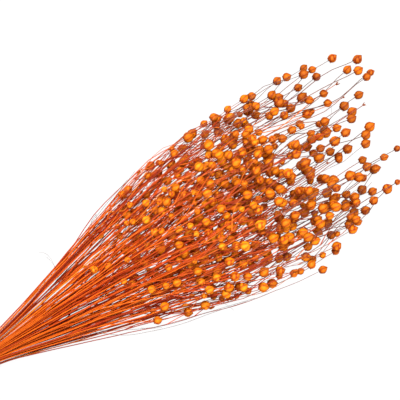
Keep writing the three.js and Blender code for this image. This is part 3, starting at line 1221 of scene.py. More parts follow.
class Mix:
    """The numbers of a Mix node's colour sockets, and the settings that make it mix colours."""

    A, B, RESULT = 6, 7, 2
    COLOURS = {"data_type": "RGBA"}
    MULTIPLY = {"data_type": "RGBA", "blend_type": "MULTIPLY"}


def new_material(name: str) -> tuple[bpy.types.Material, bpy.types.NodeTree]:
    """Returns a new material and its empty node tree."""
    material = bpy.data.materials.new(name)
    material.use_nodes = True
    material.node_tree.nodes.clear()
    return material, material.node_tree


@dataclass(frozen=True)
class Finish:
    """What every finish has. Its relief is in millimetres, and half the gloss is a smooth clean skin's."""

    name: str
    relief: float
    roughness: float
    ior: float
    gloss: float
    sheen: float = 0.0

    def surface(self, tree: bpy.types.NodeTree, colour: bpy.types.NodeSocket,
                height: bpy.types.NodeSocket) -> None:
        """Gives a tree its bump, shader and output.

        Args:
            tree: The node tree to finish.
            colour: The surface's colour.
            height: The relief's height, from 0 to 1.
        """
        bump = add_node(tree, "ShaderNodeBump", {
            "Strength": 1.0, "Distance": self.relief * MM, "Height": height,
        })
        shader = add_node(tree, "ShaderNodeBsdfPrincipled", {
            "Base Color": colour, "Roughness": self.roughness, "IOR": self.ior,
            "Specular IOR Level": self.gloss, "Sheen Weight": self.sheen,
            "Normal": bump.outputs["Normal"],
        })
        add_node(tree, "ShaderNodeOutputMaterial", {"Surface": shader.outputs["BSDF"]})


@dataclass(frozen=True)
class StrawFinish(Finish):
    """Flax straw, dried and dyed: a thin waxy skin over fibres, so it has a low silky gloss and lengthwise
    streaks where the dye took unevenly. Towards the tie it has painted shade, which makes the straw there
    darker and a little yellower, and the thin stalks look browner.
    """

    name: str = "dyed_flax_straw"
    shades: tuple = (
        (0.0, "#861e02"), (0.32, "#b03404"), (0.62, "#d65206"), (0.88, "#ec6a0b"), (1.0, "#f28824"),
    )
    stalk: str = "#56403a"
    # Painted shade along the bunch: darker and a little yellower towards the tie
    colour_and_painted_shade_along: tuple = ((0.0, "#c4cac6"), (0.35, "#e8ebe6"), (0.8, "#fffaf4"))
    streak_dark: str = "#c49a84"
    streak_length: float = 26.0
    streak_width: float = 1.1
    streak_detail: float = 3.0
    streak_roughness: float = 0.6
    streak_from: float = 0.45
    streak_to: float = 0.75
    streak_depth: float = 0.75
    relief: float = 0.05
    roughness: float = 0.46
    ior: float = 1.5
    gloss: float = 0.12

    def material(self) -> bpy.types.Material:
        """Returns the material, which reads its dye and its painted shade from the mesh and its streaks in
        place.
        """
        material, tree = new_material(self.name)
        dye = add_node(tree, "ShaderNodeAttribute", attribute_name="dye")
        parts = add_node(tree, "ShaderNodeSeparateColor", {"Color": dye.outputs["Color"]})
        place = add_node(tree, "ShaderNodeTexCoord")
        along, across = 1 / (self.streak_length * MM), 1 / (self.streak_width * MM)
        grain = add_node(tree, "ShaderNodeMapping", {
            "Vector": place.outputs["Object"], "Scale": (along, across, across),
        })
        streak = add_node(tree, "ShaderNodeTexNoise", {
            "Vector": grain.outputs["Vector"], "Scale": 1.0, "Detail": self.streak_detail,
            "Roughness": self.streak_roughness,
        })
        shade = add_node(tree, "ShaderNodeValToRGB", {"Fac": parts.outputs["Red"]}, self.shades)
        fade = add_node(tree, "ShaderNodeMix", {
            "Factor": parts.outputs["Green"], Mix.A: shade.outputs["Color"], Mix.B: linear(self.stalk),
        }, **Mix.COLOURS)
        # Painted shade, which darkens the straw towards the tie
        length = add_node(tree, "ShaderNodeValToRGB", {"Fac": parts.outputs["Blue"]}, self.colour_and_painted_shade_along)
        with_painted_shade = add_node(tree, "ShaderNodeMix", {
            "Factor": 1.0, Mix.A: fade.outputs[Mix.RESULT], Mix.B: length.outputs["Color"],
        }, **Mix.MULTIPLY)
        depth = add_node(tree, "ShaderNodeMapRange", {
            "Value": streak.outputs["Fac"], "From Min": self.streak_from, "From Max": self.streak_to,
            "To Max": self.streak_depth,
        })
        streaked = add_node(tree, "ShaderNodeMix", {
            "Factor": depth.outputs["Result"], Mix.A: with_painted_shade.outputs[Mix.RESULT],
            Mix.B: linear(self.streak_dark),
        }, **Mix.MULTIPLY)
        self.surface(tree, streaked.outputs[Mix.RESULT], streak.outputs["Fac"])
        return material


@dataclass(frozen=True)
class CapsuleFinish(Finish):
    """Flax seed capsules, dried and dyed: papery, matt to the eye, with a darker line where each of the five
    chambers joins the next, a dark calyx below and a dark dry beak above, and painted shade that darkens the
    body towards both ends.
    """

    name: str = "dyed_flax_capsule"
    shades: tuple = (
        (0.0, "#964b04"), (0.3, "#ba6002"), (0.7, "#da7904"), (1.0, "#ea9012"),
    )
    # The calyx's and beak's own dark colour, with painted shade on the body towards both ends
    colour_and_painted_shade_along: tuple = (
        (0.0, "#9c6c4c"), (0.18, "#ece0d4"), (0.5, "#ffffff"), (0.85, "#f6ecdf"), (1.0, "#a06a46"),
    )
    seam: str = "#b87c4a"
    seam_sharpness: float = 2.5
    blotch: str = "#d6bca6"
    blotch_size: float = 2.4
    blotch_detail: float = 2.0
    blotch_from: float = 0.5
    blotch_to: float = 0.8
    relief: float = 0.12
    roughness: float = 0.58
    ior: float = 1.47
    gloss: float = 0.15

    def material(self) -> bpy.types.Material:
        """Returns the material, which reads its dye, seams and length from the mesh."""
        material, tree = new_material(self.name)
        dye = add_node(tree, "ShaderNodeAttribute", attribute_name="dye")
        parts = add_node(tree, "ShaderNodeSeparateColor", {"Color": dye.outputs["Color"]})
        place = add_node(tree, "ShaderNodeTexCoord")
        blotches = add_node(tree, "ShaderNodeTexNoise", {
            "Vector": place.outputs["Object"], "Scale": 1 / (self.blotch_size * MM),
            "Detail": self.blotch_detail,
        })
        shade = add_node(tree, "ShaderNodeValToRGB", {"Fac": parts.outputs["Red"]}, self.shades)
        # From the calyx at the foot to the tip of the beak: their own dark colour, and painted shade on the
        # body towards both ends
        length = add_node(tree, "ShaderNodeValToRGB", {"Fac": parts.outputs["Blue"]}, self.colour_and_painted_shade_along)
        ended = add_node(tree, "ShaderNodeMix", {
            "Factor": 1.0, Mix.A: shade.outputs["Color"], Mix.B: length.outputs["Color"],
        }, **Mix.MULTIPLY)
        line = add_node(tree, "ShaderNodeMath", {
            0: parts.outputs["Green"], 1: self.seam_sharpness,
        }, operation="POWER")
        seamed = add_node(tree, "ShaderNodeMix", {
            "Factor": line.outputs["Value"], Mix.A: ended.outputs[Mix.RESULT], Mix.B: linear(self.seam),
        }, **Mix.MULTIPLY)
        depth = add_node(tree, "ShaderNodeMapRange", {
            "Value": blotches.outputs["Fac"], "From Min": self.blotch_from, "From Max": self.blotch_to,
        })
        blotched = add_node(tree, "ShaderNodeMix", {
            "Factor": depth.outputs["Result"], Mix.A: seamed.outputs[Mix.RESULT],
            Mix.B: linear(self.blotch),
        }, **Mix.MULTIPLY)
        self.surface(tree, blotched.outputs[Mix.RESULT], blotches.outputs["Fac"])
        return material


@dataclass(frozen=True)
class TwineFinish(Finish):
    """Undyed jute twine, spun and twisted: matt and dusty, with hairy fibres that shine a little."""

    name: str = "twisted_jute_twine"
    shades: tuple = ((0.3, "#7d6440"), (0.5, "#a98c60"), (0.7, "#c8ae82"))
    fibre_length: float = 3.0
    fibre_width: float = 0.35
    fibre_detail: float = 4.0
    fibre_roughness: float = 0.65
    relief: float = 0.12
    roughness: float = 0.9
    ior: float = 1.5
    gloss: float = 0.3
    sheen: float = 0.25

    def material(self) -> bpy.types.Material:
        """Returns the material, with the fibres drawn as fine streaks."""
        material, tree = new_material(self.name)
        place = add_node(tree, "ShaderNodeTexCoord")
        long, wide = 1 / (self.fibre_length * MM), 1 / (self.fibre_width * MM)
        grain = add_node(tree, "ShaderNodeMapping", {
            "Vector": place.outputs["Object"], "Scale": (wide, long, long),
        })
        fibre = add_node(tree, "ShaderNodeTexNoise", {
            "Vector": grain.outputs["Vector"], "Scale": 1.0, "Detail": self.fibre_detail,
            "Roughness": self.fibre_roughness,
        })
        shade = add_node(tree, "ShaderNodeValToRGB", {"Fac": fibre.outputs["Fac"]}, self.shades)
        self.surface(tree, shade.outputs["Color"], fibre.outputs["Fac"])
        return material


# Shapes


class Dye(Enum):
    """The material slots of a grown piece."""

    STRAW = 0
    CAPSULE = 1


def ring_places(path: np.ndarray, radii: np.ndarray) -> list[Matrix]:
    """Places the rings of a tube, turned as little as possible from ring to ring.

    Args:
        path: The middle of each ring.
        radii: The radius of each ring.

    Returns:
        Each ring's placing.
    """
    points = [Vector(point) for point in path]
    count = len(points)
    ways = [(points[min(k + 1, count - 1)] - points[max(k - 1, 0)]).normalized() for k in range(count)]
    turn = ways[0].to_track_quat("Z", "Y")
    places = []
    for k, point in enumerate(points):
        if k:
            turn = ways[k - 1].rotation_difference(ways[k]) @ turn
        places.append(Matrix.LocRotScale(point, turn, Vector((radii[k],) * 3)))
    return places


class GrownMesh:
    """A mesh that tubes and ready shapes are added to, with the dye of each in an attribute.

    The attribute holds the dye's tint, then how grey a stem is or how near a boll's seam, and then how far
    along the bunch or the boll the place lies; that last sets the straw's painted shade near the tie, and a
    boll's dark calyx and beak with painted shade towards its ends.
    """

    # From here on the straw has the colour of the head, and nearer the tie it has painted shade
    HEAD_FROM = 300.0

    def __init__(self) -> None:
        """Starts an empty mesh."""
        self.mesh = bmesh.new()
        self.dye = self.mesh.verts.layers.float_color.new("dye")

    def dress(self, first_face: int, dye: Dye) -> None:
        """Gives new faces their material slot and smooth shading.

        Args:
            first_face: The number of the first of them.
            dye: The material slot.
        """
        self.mesh.faces.ensure_lookup_table()
        for face in self.mesh.faces[first_face:]:
            face.material_index = dye.value
            face.smooth = True

    def tube(self, path: np.ndarray, radii: np.ndarray, sides: int, tint: float,
             fade: np.ndarray | None = None, dye: Dye = Dye.STRAW) -> None:
        """Adds a closed tube, a circle extruded from ring to ring.

        Args:
            path: The middle of each ring.
            radii: The radius of each ring.
            sides: How many sides the tube has.
            tint: The shade of its dye, from 0 to 1.
            fade: How grey each ring is, from 0 to 1.
            dye: The material slot.
        """
        places = ring_places(path, radii)
        # How far towards the head each ring lies, which sets the straw's painted shade
        reach = np.clip(path[:, 0] / self.HEAD_FROM, 0, 1)
        first_face = len(self.mesh.faces)
        verts = bmesh.ops.create_circle(
            self.mesh, cap_ends=True, segments=sides, radius=1.0, matrix=places[0])["verts"]
        edges = list(dict.fromkeys(edge for vert in verts for edge in vert.link_edges))
        rims = list(edges)
        for k, place in enumerate(places):
            if k:
                grown = bmesh.ops.extrude_edge_only(self.mesh, edges=edges)["geom"]
                verts = [item for item in grown if isinstance(item, bmesh.types.BMVert)]
                new = set(verts)
                edges = [item for item in grown if isinstance(item, bmesh.types.BMEdge)
                         and item.verts[0] in new and item.verts[1] in new]
                bmesh.ops.transform(self.mesh, matrix=place @ places[k - 1].inverted(), verts=verts)
            for vert in verts:
                vert[self.dye] = (tint, 0.0 if fade is None else fade[k], reach[k], 1.0)
        bmesh.ops.contextual_create(self.mesh, geom=edges)
        self.dress(first_face, dye)
        for edge in rims + edges:
            edge.smooth = False

    def add(self, shape: bpy.types.Mesh, place: Matrix, tint: float, floor: float = 0.0) -> None:
        """Adds a ready shape in its place; one that all but touches the floor is let down onto it.

        Args:
            shape: The shape, of radius 1 with its axis along +Z.
            place: Where it goes.
            tint: The shade of its dye, from 0 to 1.
            floor: How close to the floor a shape is let down.
        """
        first_vert, first_face = len(self.mesh.verts), len(self.mesh.faces)
        self.mesh.from_mesh(shape)
        self.mesh.verts.ensure_lookup_table()
        verts = self.mesh.verts[first_vert:]
        bmesh.ops.transform(self.mesh, matrix=place, verts=verts)
        low = min(vert.co.z for vert in verts)
        if low < floor:
            bmesh.ops.translate(self.mesh, vec=(0, 0, -low), verts=verts)
        for vert in verts:
            vert[self.dye] = (tint, vert[self.dye][1], vert[self.dye][2], 1.0)
        self.dress(first_face, Dye.CAPSULE)

    def piece(self, name: str, materials: list, slot: str,
              replaces: str | None = None) -> bpy.types.Object:
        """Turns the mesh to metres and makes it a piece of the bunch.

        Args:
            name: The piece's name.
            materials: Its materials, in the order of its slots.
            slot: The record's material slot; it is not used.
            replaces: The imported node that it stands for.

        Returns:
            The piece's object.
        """
        bmesh.ops.recalc_face_normals(self.mesh, faces=self.mesh.faces)
        bmesh.ops.scale(self.mesh, vec=(MM, MM, MM), verts=self.mesh.verts)
        triangles = sum(len(face.verts) - 2 for face in self.mesh.faces)
        piece = add_object(name, mesh_data(self.mesh, name))
        for material in materials:
            piece.data.materials.append(material)
        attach(piece, "root")
        if replaces:
            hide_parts(replaces)
        LOG.info("%s: %d triangles", name, triangles)
        return piece


@dataclass(frozen=True)
class Sepal:
    """The form of one sepal beside a boll of radius 1, and the dye of its parts.

    Its foot stands off the axis and it leans out from there, in radians.
    """

    foot: float
    lean: float
    length: float
    width: float
    dye: tuple


@dataclass(frozen=True)
class BollShapes:
    """The shapes of what stands at a stalk's tip, with radius 1 and the axis along +Z.

    A boll has five chambers with a shallow groove between them, a short beak and five sepals
    pressed to its underside. A bud is a narrow closed spindle. A husk is an open calyx that has
    lost its boll.
    """

    segments: int = 10
    rings: tuple = ((-0.84, 0.52), (-0.46, 0.88), (0.02, 1.0), (0.48, 0.86), (0.84, 0.48))
    beak: float = 1.22
    groove: float = 0.95
    sepals: int = 5
    calyx_height: float = -0.92
    sepal_flatness: float = 0.35
    # Each boll's own shade takes the place of this one
    shade: float = 0.5
    boll_sepal: Sepal = Sepal(0.5, 0.62, 0.6, 0.3, (0.3, 0.05))
    bud_sepal: Sepal = Sepal(0.35, 0.2, 1.9, 0.5, (0.6, 0.1))
    bud_size: tuple = (0.62, 0.62, 1.5)
    bud_sepals: int = 2
    husk_sepal: Sepal = Sepal(0.2, 0.55, 1.7, 0.4, (0.5, 0.12))
    husk_foot_radius: float = 0.34
    husk_foot_height: float = -0.9

    def new(self) -> tuple[bmesh.types.BMesh, bmesh.types.BMLayerItem]:
        """Returns an empty mesh and its dye layer."""
        mesh = bmesh.new()
        return mesh, mesh.verts.layers.float_color.new("dye")

    def add_calyx(self, mesh: bmesh.types.BMesh, sepal: Sepal, count: int, first: float = 0.0) -> list:
        """Adds a ring of pointed sepals, each a flat three-sided spike.

        Args:
            mesh: The mesh to add them to.
            sepal: The form of each.
            count: How many there are.
            first: Where the first stands, as a share of the space from one to the next.

        Returns:
            The sepals' vertices.
        """
        verts = []
        for number in range(count):
            place = (
                Matrix.Rotation((number + first) * 2 * math.pi / count, 4, "Z")
                @ Matrix.Translation((sepal.foot, 0, self.calyx_height))
                @ Matrix.Rotation(sepal.lean, 4, "Y") @ Matrix.Diagonal((self.sepal_flatness, 1, 1, 1))
                @ Matrix.Translation((0, 0, sepal.length / 2))
            )
            verts += bmesh.ops.create_cone(mesh, cap_ends=True, segments=3, radius1=sepal.width, radius2=0,
                                           depth=sepal.length, matrix=place)["verts"]
        return verts

    def boll(self) -> bpy.types.Mesh:
        """Returns the seed boll: a sphere drawn into grooves and a beak, on its calyx."""
        mesh, dye = self.new()
        made = bmesh.ops.create_uvsphere(
            mesh, u_segments=self.segments, v_segments=len(self.rings) + 1, radius=1.0)["verts"]
        by_height = sorted(made, key=lambda vert: vert.co.z)
        by_height[-1].co.z = self.beak
        by_height[-1][dye] = (self.shade, 0.0, 1.0, 1.0)
        by_height[0][dye] = (self.shade, 0.0, 0.0, 1.0)
        for number, (height, radius) in enumerate(self.rings):
            ring = by_height[1 + number * self.segments:1 + (number + 1) * self.segments]
            for vert in ring:
                turn = math.atan2(vert.co.y, vert.co.x)
                grooved = round(turn / (2 * math.pi) * self.segments) % 2
                out = radius * (self.groove if grooved else 1.0)
                vert.co = (out * math.cos(turn), out * math.sin(turn), height)
                # The height sets the calyx's and beak's colour and the painted shade towards the ends
                vert[dye] = (self.shade, float(grooved), (height + 1) / (self.beak + 1), 1.0)
        # Each sepal stands below the middle of a chamber
        for vert in self.add_calyx(mesh, self.boll_sepal, self.sepals, 0.5):
            vert[dye] = (self.shade, *self.boll_sepal.dye, 1.0)
        return mesh_data(mesh, "boll_shape")

    def bud(self) -> bpy.types.Mesh:
        """Returns the closed bud: a spindle between two sepals."""
        mesh, dye = self.new()
        bmesh.ops.create_icosphere(mesh, subdivisions=1, radius=1.0,
                                   matrix=Matrix.Diagonal((*self.bud_size, 1)))
        self.add_calyx(mesh, self.bud_sepal, self.bud_sepals)
        for vert in mesh.verts:
            vert[dye] = (self.shade, *self.bud_sepal.dye, 1.0)
        return mesh_data(mesh, "bud_shape")

    def husk(self) -> bpy.types.Mesh:
        """Returns the open calyx: five sepals spread round a small foot."""
        mesh, dye = self.new()
        bmesh.ops.create_icosphere(mesh, subdivisions=1, radius=self.husk_foot_radius,
                                   matrix=Matrix.Translation((0, 0, self.husk_foot_height)))
        self.add_calyx(mesh, self.husk_sepal, self.sepals)
        for vert in mesh.verts:
            vert[dye] = (self.shade, *self.husk_sepal.dye, 1.0)
        return mesh_data(mesh, "husk_shape")


@dataclass
class FineSprays:
    """Makes the visible stems, branches, stalks and bolls along the grown threads.

    A profile is a row of places and a row of values there, or pairs of both. A fade tells how grey
    a thread is along its way. Triples of nods are for along, across and up.
    """

    growth: SprayGrowth
    straw: bpy.types.Material
    capsule: bpy.types.Material
    draw: Draw = field(default_factory=lambda: Draw(31))
    behind_tie: tuple = (-70.0, -40.0, -18.0)
    station_gap: float = 12.0
    stem_radii: tuple = ((0.0, 0.88), (0.5, 0.6), (0.85, 0.4), (1.0, 0.32))
    stem_slimness: tuple = (0.85, 1.12)
    stem_fade: tuple = ((0.0, 0.55, 0.8, 1.0), (0.0, 0.1, 0.7, 1.0))
    stem_calm: float = 6.0
    fade_far: tuple = ((250.0, 360.0), (0.35, 1.0))
    nods: tuple = (0.0, 11.0, 6.0)
    nod_length: tuple = (45.0, 110.0)
    gathered: tuple = ((60.0, 100.0, 180.0, 230.0), (0.0, 1.0, 1.0, 0.0))
    gathered_low: float = 0.08
    gathered_high: float = 0.03
    outer_slimness: tuple = ((0.7, 1.0), (1.0, 0.65))
    boll_tilt: float = 0.4
    # Bolls nearer the tie are lighter, a painted light against the shade inside the bunch, and the far ones
    # are browner
    boll_tints_and_painted_light: tuple = (((280.0, 380.0), (0.45, 0.05)), ((280.0, 380.0), (1.0, 0.45)))
    waves: tuple = ((150.0, 1.5), (62.0, 0.8), (34.0, 0.3))
    wave_strength: tuple = (0.4, 1.2)
    cut_radius: float = 1.05
    branch_slimness: tuple = (0.85, 1.15)
    branch_fade: tuple = ((0.0, 0.6, 1.0), (0.0, 0.12, 0.85))
    branch_calm: float = 0.5
    branch_joins: float = 3.0
    stalk_radius: float = 0.33
    stalk_slimness: tuple = (0.85, 1.25)
    stalk_profile: tuple = ((0.0, 0.1, 0.9, 1.0), (1.5, 1.1, 1.0, 1.3))
    stalk_fade: tuple = ((0.0, 0.25, 1.0), (0.15, 0.5, 0.9))
    stalk_step: float = 8.0
    stalk_leaving: tuple = (1.6, 2.3)
    stalk_arriving: tuple = (0.2, 1.0)
    stalk_bow: float = 0.09
    least_steps: int = 4
    floor_gap: float = 0.1
    boll_swell: float = 1.15
    boll_length: tuple = (0.92, 1.06)
    stem_sides: int = 6
    stalk_sides: int = 5

    def __post_init__(self) -> None:
        """Makes the ready shapes."""
        shapes = BollShapes()
        self.shapes = {Growth.BOLL: shapes.boll(), Growth.BUD: shapes.bud(), Growth.HUSK: shapes.husk()}
        self.paths: dict[int, np.ndarray] = {}

    def build(self) -> None:
        """Makes a piece for each spray and each slim stem."""
        space, sprays = self.growth.space, self.growth.stems.sprays
        for number in sorted({thread.spray for thread in space.threads}):
            mesh = GrownMesh()
            for thread in space.threads:
                if thread.spray == number:
                    self.add_thread(mesh, thread)
            for boll in space.bolls:
                if boll.spray == number:
                    self.add_boll(mesh, boll)
            node = f"spray_{number + 1:02d}" if number < sprays else None
            name = f"flax_{node}" if node else f"slim_stem_{number + 1 - sprays:02d}"
            mesh.piece(name, [self.straw, self.capsule], "dyed_flax", node)

    def add_thread(self, mesh: GrownMesh, thread: Thread) -> None:
        """Adds a stem, branch or stalk along its fine path.

        Args:
            mesh: The mesh to add it to.
            thread: The stem, branch or stalk.
        """
        if thread.plan:
            path, radii, fade = self.stem(thread)
        elif thread.is_stalk:
            path, radii, fade = self.stalk(thread)
        else:
            path, radii, fade = self.branch(thread)
        path[:, 2] = np.maximum(path[:, 2], radii + self.floor_gap)
        self.paths[id(thread)] = path
        sides = self.stem_sides if thread.plan else self.stalk_sides
        fade = fade * np.interp(thread.tip, *self.fade_far)
        mesh.tube(path, radii, sides, self.draw.share(), fade)

    def stem(self, thread: Thread) -> tuple[np.ndarray, np.ndarray, np.ndarray]:
        """Makes a stem's path, along its own rule with a nod and small waves of its own.

        Args:
            thread: The stem.

        Returns:
            The stem's path, radii and fade.
        """
        plan, course, draw, growth = thread.plan, thread.course, self.draw, self.growth
        cut = draw.between(growth.stems.cut_far, growth.stems.cut_near) if plan.hand else course.cut
        waist = growth.form.waist_reach
        behind = [growth.place_behind_tie(plan, along, plan.hand)
                  for along in (cut, *self.behind_tie, -waist)]
        count = max(self.least_steps, round((course.along - waist) / self.station_gap))
        ahead = [growth.place(plan, course, along)
                 for along in np.linspace(waist, course.along, count + 1)]
        path = np.array(behind + ahead)
        opened = np.array([growth.form.opening(along) for along in path[:, 0]])
        share = np.clip((path[:, 0] - waist) / (course.along - waist), 0, 1)
        self.wave(path, opened * (1 - share ** self.stem_calm))
        length = draw.between(*self.nod_length)
        nod = np.clip(1 - (course.along - path[:, 0]) / length, 0, 1)
        for axis in (1, 2):
            path[:, axis] += draw.around(self.nods[axis]) * np.sin(math.pi * nod) ** 2
        radii = np.interp(share, *zip(*self.stem_radii))
        slim = float(thread.radii[1]) / growth.stems.radius_waist * draw.between(*self.stem_slimness)
        slim *= np.interp(abs(course.side), *self.outer_slimness)
        radii[0] = self.cut_radius
        return path, radii * slim, np.interp(share, *self.stem_fade)

    def wave(self, path: np.ndarray, strength: np.ndarray) -> None:
        """Draws a path a little in where the fan opens, and bends it in small waves of several lengths.

        Args:
            path: The path's points, which are moved.
            strength: How far each point may move, from 0 to 1.
        """
        most = np.where(path[:, 1] < 0, self.gathered_low, self.gathered_high)
        path[:, 1] *= 1 - most * strength * np.interp(path[:, 0], *self.gathered)
        for axis in (1, 2):
            for length, size in self.waves:
                phase = self.draw.turn()
                bend = np.sin(2 * math.pi * path[:, 0] / length + phase)
                path[:, axis] += size * self.draw.between(*self.wave_strength) * strength * bend

    def branch(self, thread: Thread) -> tuple[np.ndarray, np.ndarray, np.ndarray]:
        """Makes a branch's path, from its stem's fine path to its tip.

        Args:
            thread: The branch.

        Returns:
            The branch's path, radii and fade.
        """
        path = thread.points.copy()
        share = np.linspace(0, 1, len(path))
        stem = self.paths[id(thread.parent)]
        for axis in (1, 2):
            start = np.interp(path[0, 0], stem[:, 0], stem[:, axis])
            path[:, axis] += (start - path[0, axis]) * (1 - share) ** self.branch_joins
        self.wave(path, np.sin(math.pi * share) ** self.branch_calm)
        radii = thread.radii * self.draw.between(*self.branch_slimness)
        return path, radii, np.interp(share, *self.branch_fade)

    def stalk(self, thread: Thread) -> tuple[np.ndarray, np.ndarray, np.ndarray]:
        """Makes a stalk's path, a bent curve from its parent's fine path to its boll.

        Args:
            thread: The stalk.

        Returns:
            The stalk's path, radii and fade.
        """
        draw = self.draw
        parent = self.paths[id(thread.parent)]
        root, tip = thread.points[0], thread.points[-1]
        start = np.array([root[0], *(
            np.interp(root[0], parent[:, 0], parent[:, axis]) for axis in (1, 2)
        )])
        count = max(self.least_steps, round((tip[0] - root[0]) / self.stalk_step))
        t = np.linspace(0, 1, count + 1)[:, None]
        # A cubic curve with its own steepness at both ends
        leaving = (t ** 3 - 2 * t ** 2 + t) * draw.between(*self.stalk_leaving)
        arriving = (t ** 3 - t ** 2) * draw.between(*self.stalk_arriving)
        turned = leaving + (3 * t ** 2 - 2 * t ** 3) + arriving
        path = start + (tip - start) * np.concatenate([t, turned, turned], axis=1)
        bow = np.sin(math.pi * t[:, 0]) * self.stalk_bow * (tip[0] - root[0])
        for axis in (1, 2):
            path[:, axis] += bow * draw.around(1)
        size = draw.between(*self.stalk_slimness)
        radii = np.interp(t[:, 0], *self.stalk_profile) * self.stalk_radius * size
        return path, radii, np.interp(t[:, 0], *self.stalk_fade)

    def add_boll(self, mesh: GrownMesh, boll: Boll) -> None:
        """Adds a boll, bud or husk at its stalk's tip.

        Args:
            mesh: The mesh to add it to.
            boll: The boll, bud or husk.
        """
        draw = self.draw
        tilt = Quaternion(Vector((0.0, 1.0, 0.0)), draw.around(self.boll_tilt))
        turn = Vector(boll.axis).to_track_quat("Z", "Y") @ Quaternion(UP, boll.spin) @ tilt
        wide = boll.radius * self.boll_swell
        long = wide * draw.between(*self.boll_length)
        place = Matrix.LocRotScale(Vector(boll.centre), turn, Vector((wide, wide, long)))
        floor = self.growth.bolls.let_down_from if boll.kind is Growth.BOLL else 0.0
        # Painted light: the nearer the tie, the lighter the boll's tint
        least, most = (np.interp(boll.centre[0], *span) for span in self.boll_tints_and_painted_light)
        mesh.add(self.shapes[boll.kind], place, draw.between(least, most), floor)


def smooth_path(points: np.ndarray, steps: int) -> np.ndarray:
    """Lays a smooth curve through points.

    Args:
        points: The points.
        steps: The number of steps between each two.

    Returns:
        The curve's points.
    """
    ends = np.vstack([2 * points[0] - points[1], points, 2 * points[-1] - points[-2]])
    path = []
    for k in range(1, len(points)):
        a, b, c, d = ends[k - 1:k + 3]
        for t in np.arange(steps) / steps:
            path.append(0.5 * (
                2 * b + (c - a) * t + (2 * a - 5 * b + 4 * c - d) * t ** 2
                + (3 * b - a - 3 * c + d) * t ** 3))
    return np.array([*path, points[-1]])


@dataclass
class Fibres:
    """The hair-fine loose fibres that curl out of the bunch.

    A heading, curl, rise, lift or wobble is the most, in radians, that a fibre turns to a side.
    """

    growth: SprayGrowth
    straw: bpy.types.Material
    count: int = 40
    radius: float = 0.1
    sides: int = 3
    grey: float = 0.9
    first_root: float = 60.0
    tip_gap: float = 10.0
    length: tuple = (16.0, 60.0)
    steps: int = 16
    heading: float = 0.6
    curl: float = 1.7
    rise: float = 0.4
    lift: float = 1.5
    wobble: float = 0.06
    least_height: float = 0.4
    edge_radius: float = 0.17
    edge_steps: int = 5
    edge_rise: float = 2.5
    edge_least_height: float = 2.0
    draw: Draw = field(default_factory=lambda: Draw(5))

    def build(self) -> None:
        """Makes all the fibres as one piece."""
        mesh = GrownMesh()
        stems = [thread for thread in self.growth.space.threads if thread.plan]
        for _ in range(self.count):
            self.add_loose_fibre(mesh, self.draw.one_of(stems))
        for points in EDGE_FIBRES:
            self.add_edge_fibre(mesh, points)
        mesh.piece("loose_fibres", [self.straw], "dyed_flax")

    def add(self, mesh: GrownMesh, path: np.ndarray, radius: float) -> None:
        """Adds a fibre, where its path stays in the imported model's box.

        Args:
            mesh: The mesh to add it to.
            path: Its path.
            radius: Its radius.
        """
        if in_packed_box(path, radius):
            radii, fade = np.full(len(path), radius), np.full(len(path), self.grey)
            mesh.tube(path, radii, self.sides, self.draw.share(), fade)

    def add_edge_fibre(self, mesh: GrownMesh, points: tuple) -> None:
        """Adds a fibre through its own points, from the thread that passes nearest to its root.

        Args:
            mesh: The mesh to add it to.
            points: Its points along and across, from root to tip.
        """
        along, across = points[0]
        rows = [thread.at(along) for thread in self.growth.space.threads]
        passing = [row for row in rows if not math.isnan(row[0])]
        root = min(passing, key=lambda row: abs(row[0] - across))
        height = root[1]
        path = [[along, root[0], height]]
        for x, y in points[1:]:
            height = max(self.edge_least_height, height + self.draw.around(self.edge_rise))
            path.append([x, y, height])
        self.add(mesh, smooth_path(np.array(path), self.edge_steps), self.edge_radius)

    def add_loose_fibre(self, mesh: GrownMesh, stem: Thread) -> None:
        """Adds one fibre that leaves a stem and curls as it goes.

        Args:
            mesh: The mesh to add it to.
            stem: The stem.
        """
        draw = self.draw
        along = draw.between(self.first_root, stem.tip - self.tip_gap)
        y, z, slope_y, slope_z, _ = stem.at(along)
        length = draw.between(*self.length)
        heading, curl = draw.around(self.heading), draw.around(self.curl) / length
        rise, lift = draw.around(self.rise), draw.around(self.lift) / length
        step = length / self.steps
        path = [[along, y, z]]
        for _ in range(self.steps):
            heading += curl * step + draw.around(self.wobble)
            rise += lift * step
            last = path[-1]
            path.append([
                last[0] + step * math.cos(heading) * math.cos(rise),
                last[1] + step * (math.sin(heading) * math.cos(rise) + slope_y * math.cos(heading)),
                max(self.least_height, last[2] + step * (math.sin(rise) + slope_z)),
            ])
        self.add(mesh, np.array(path), self.radius)


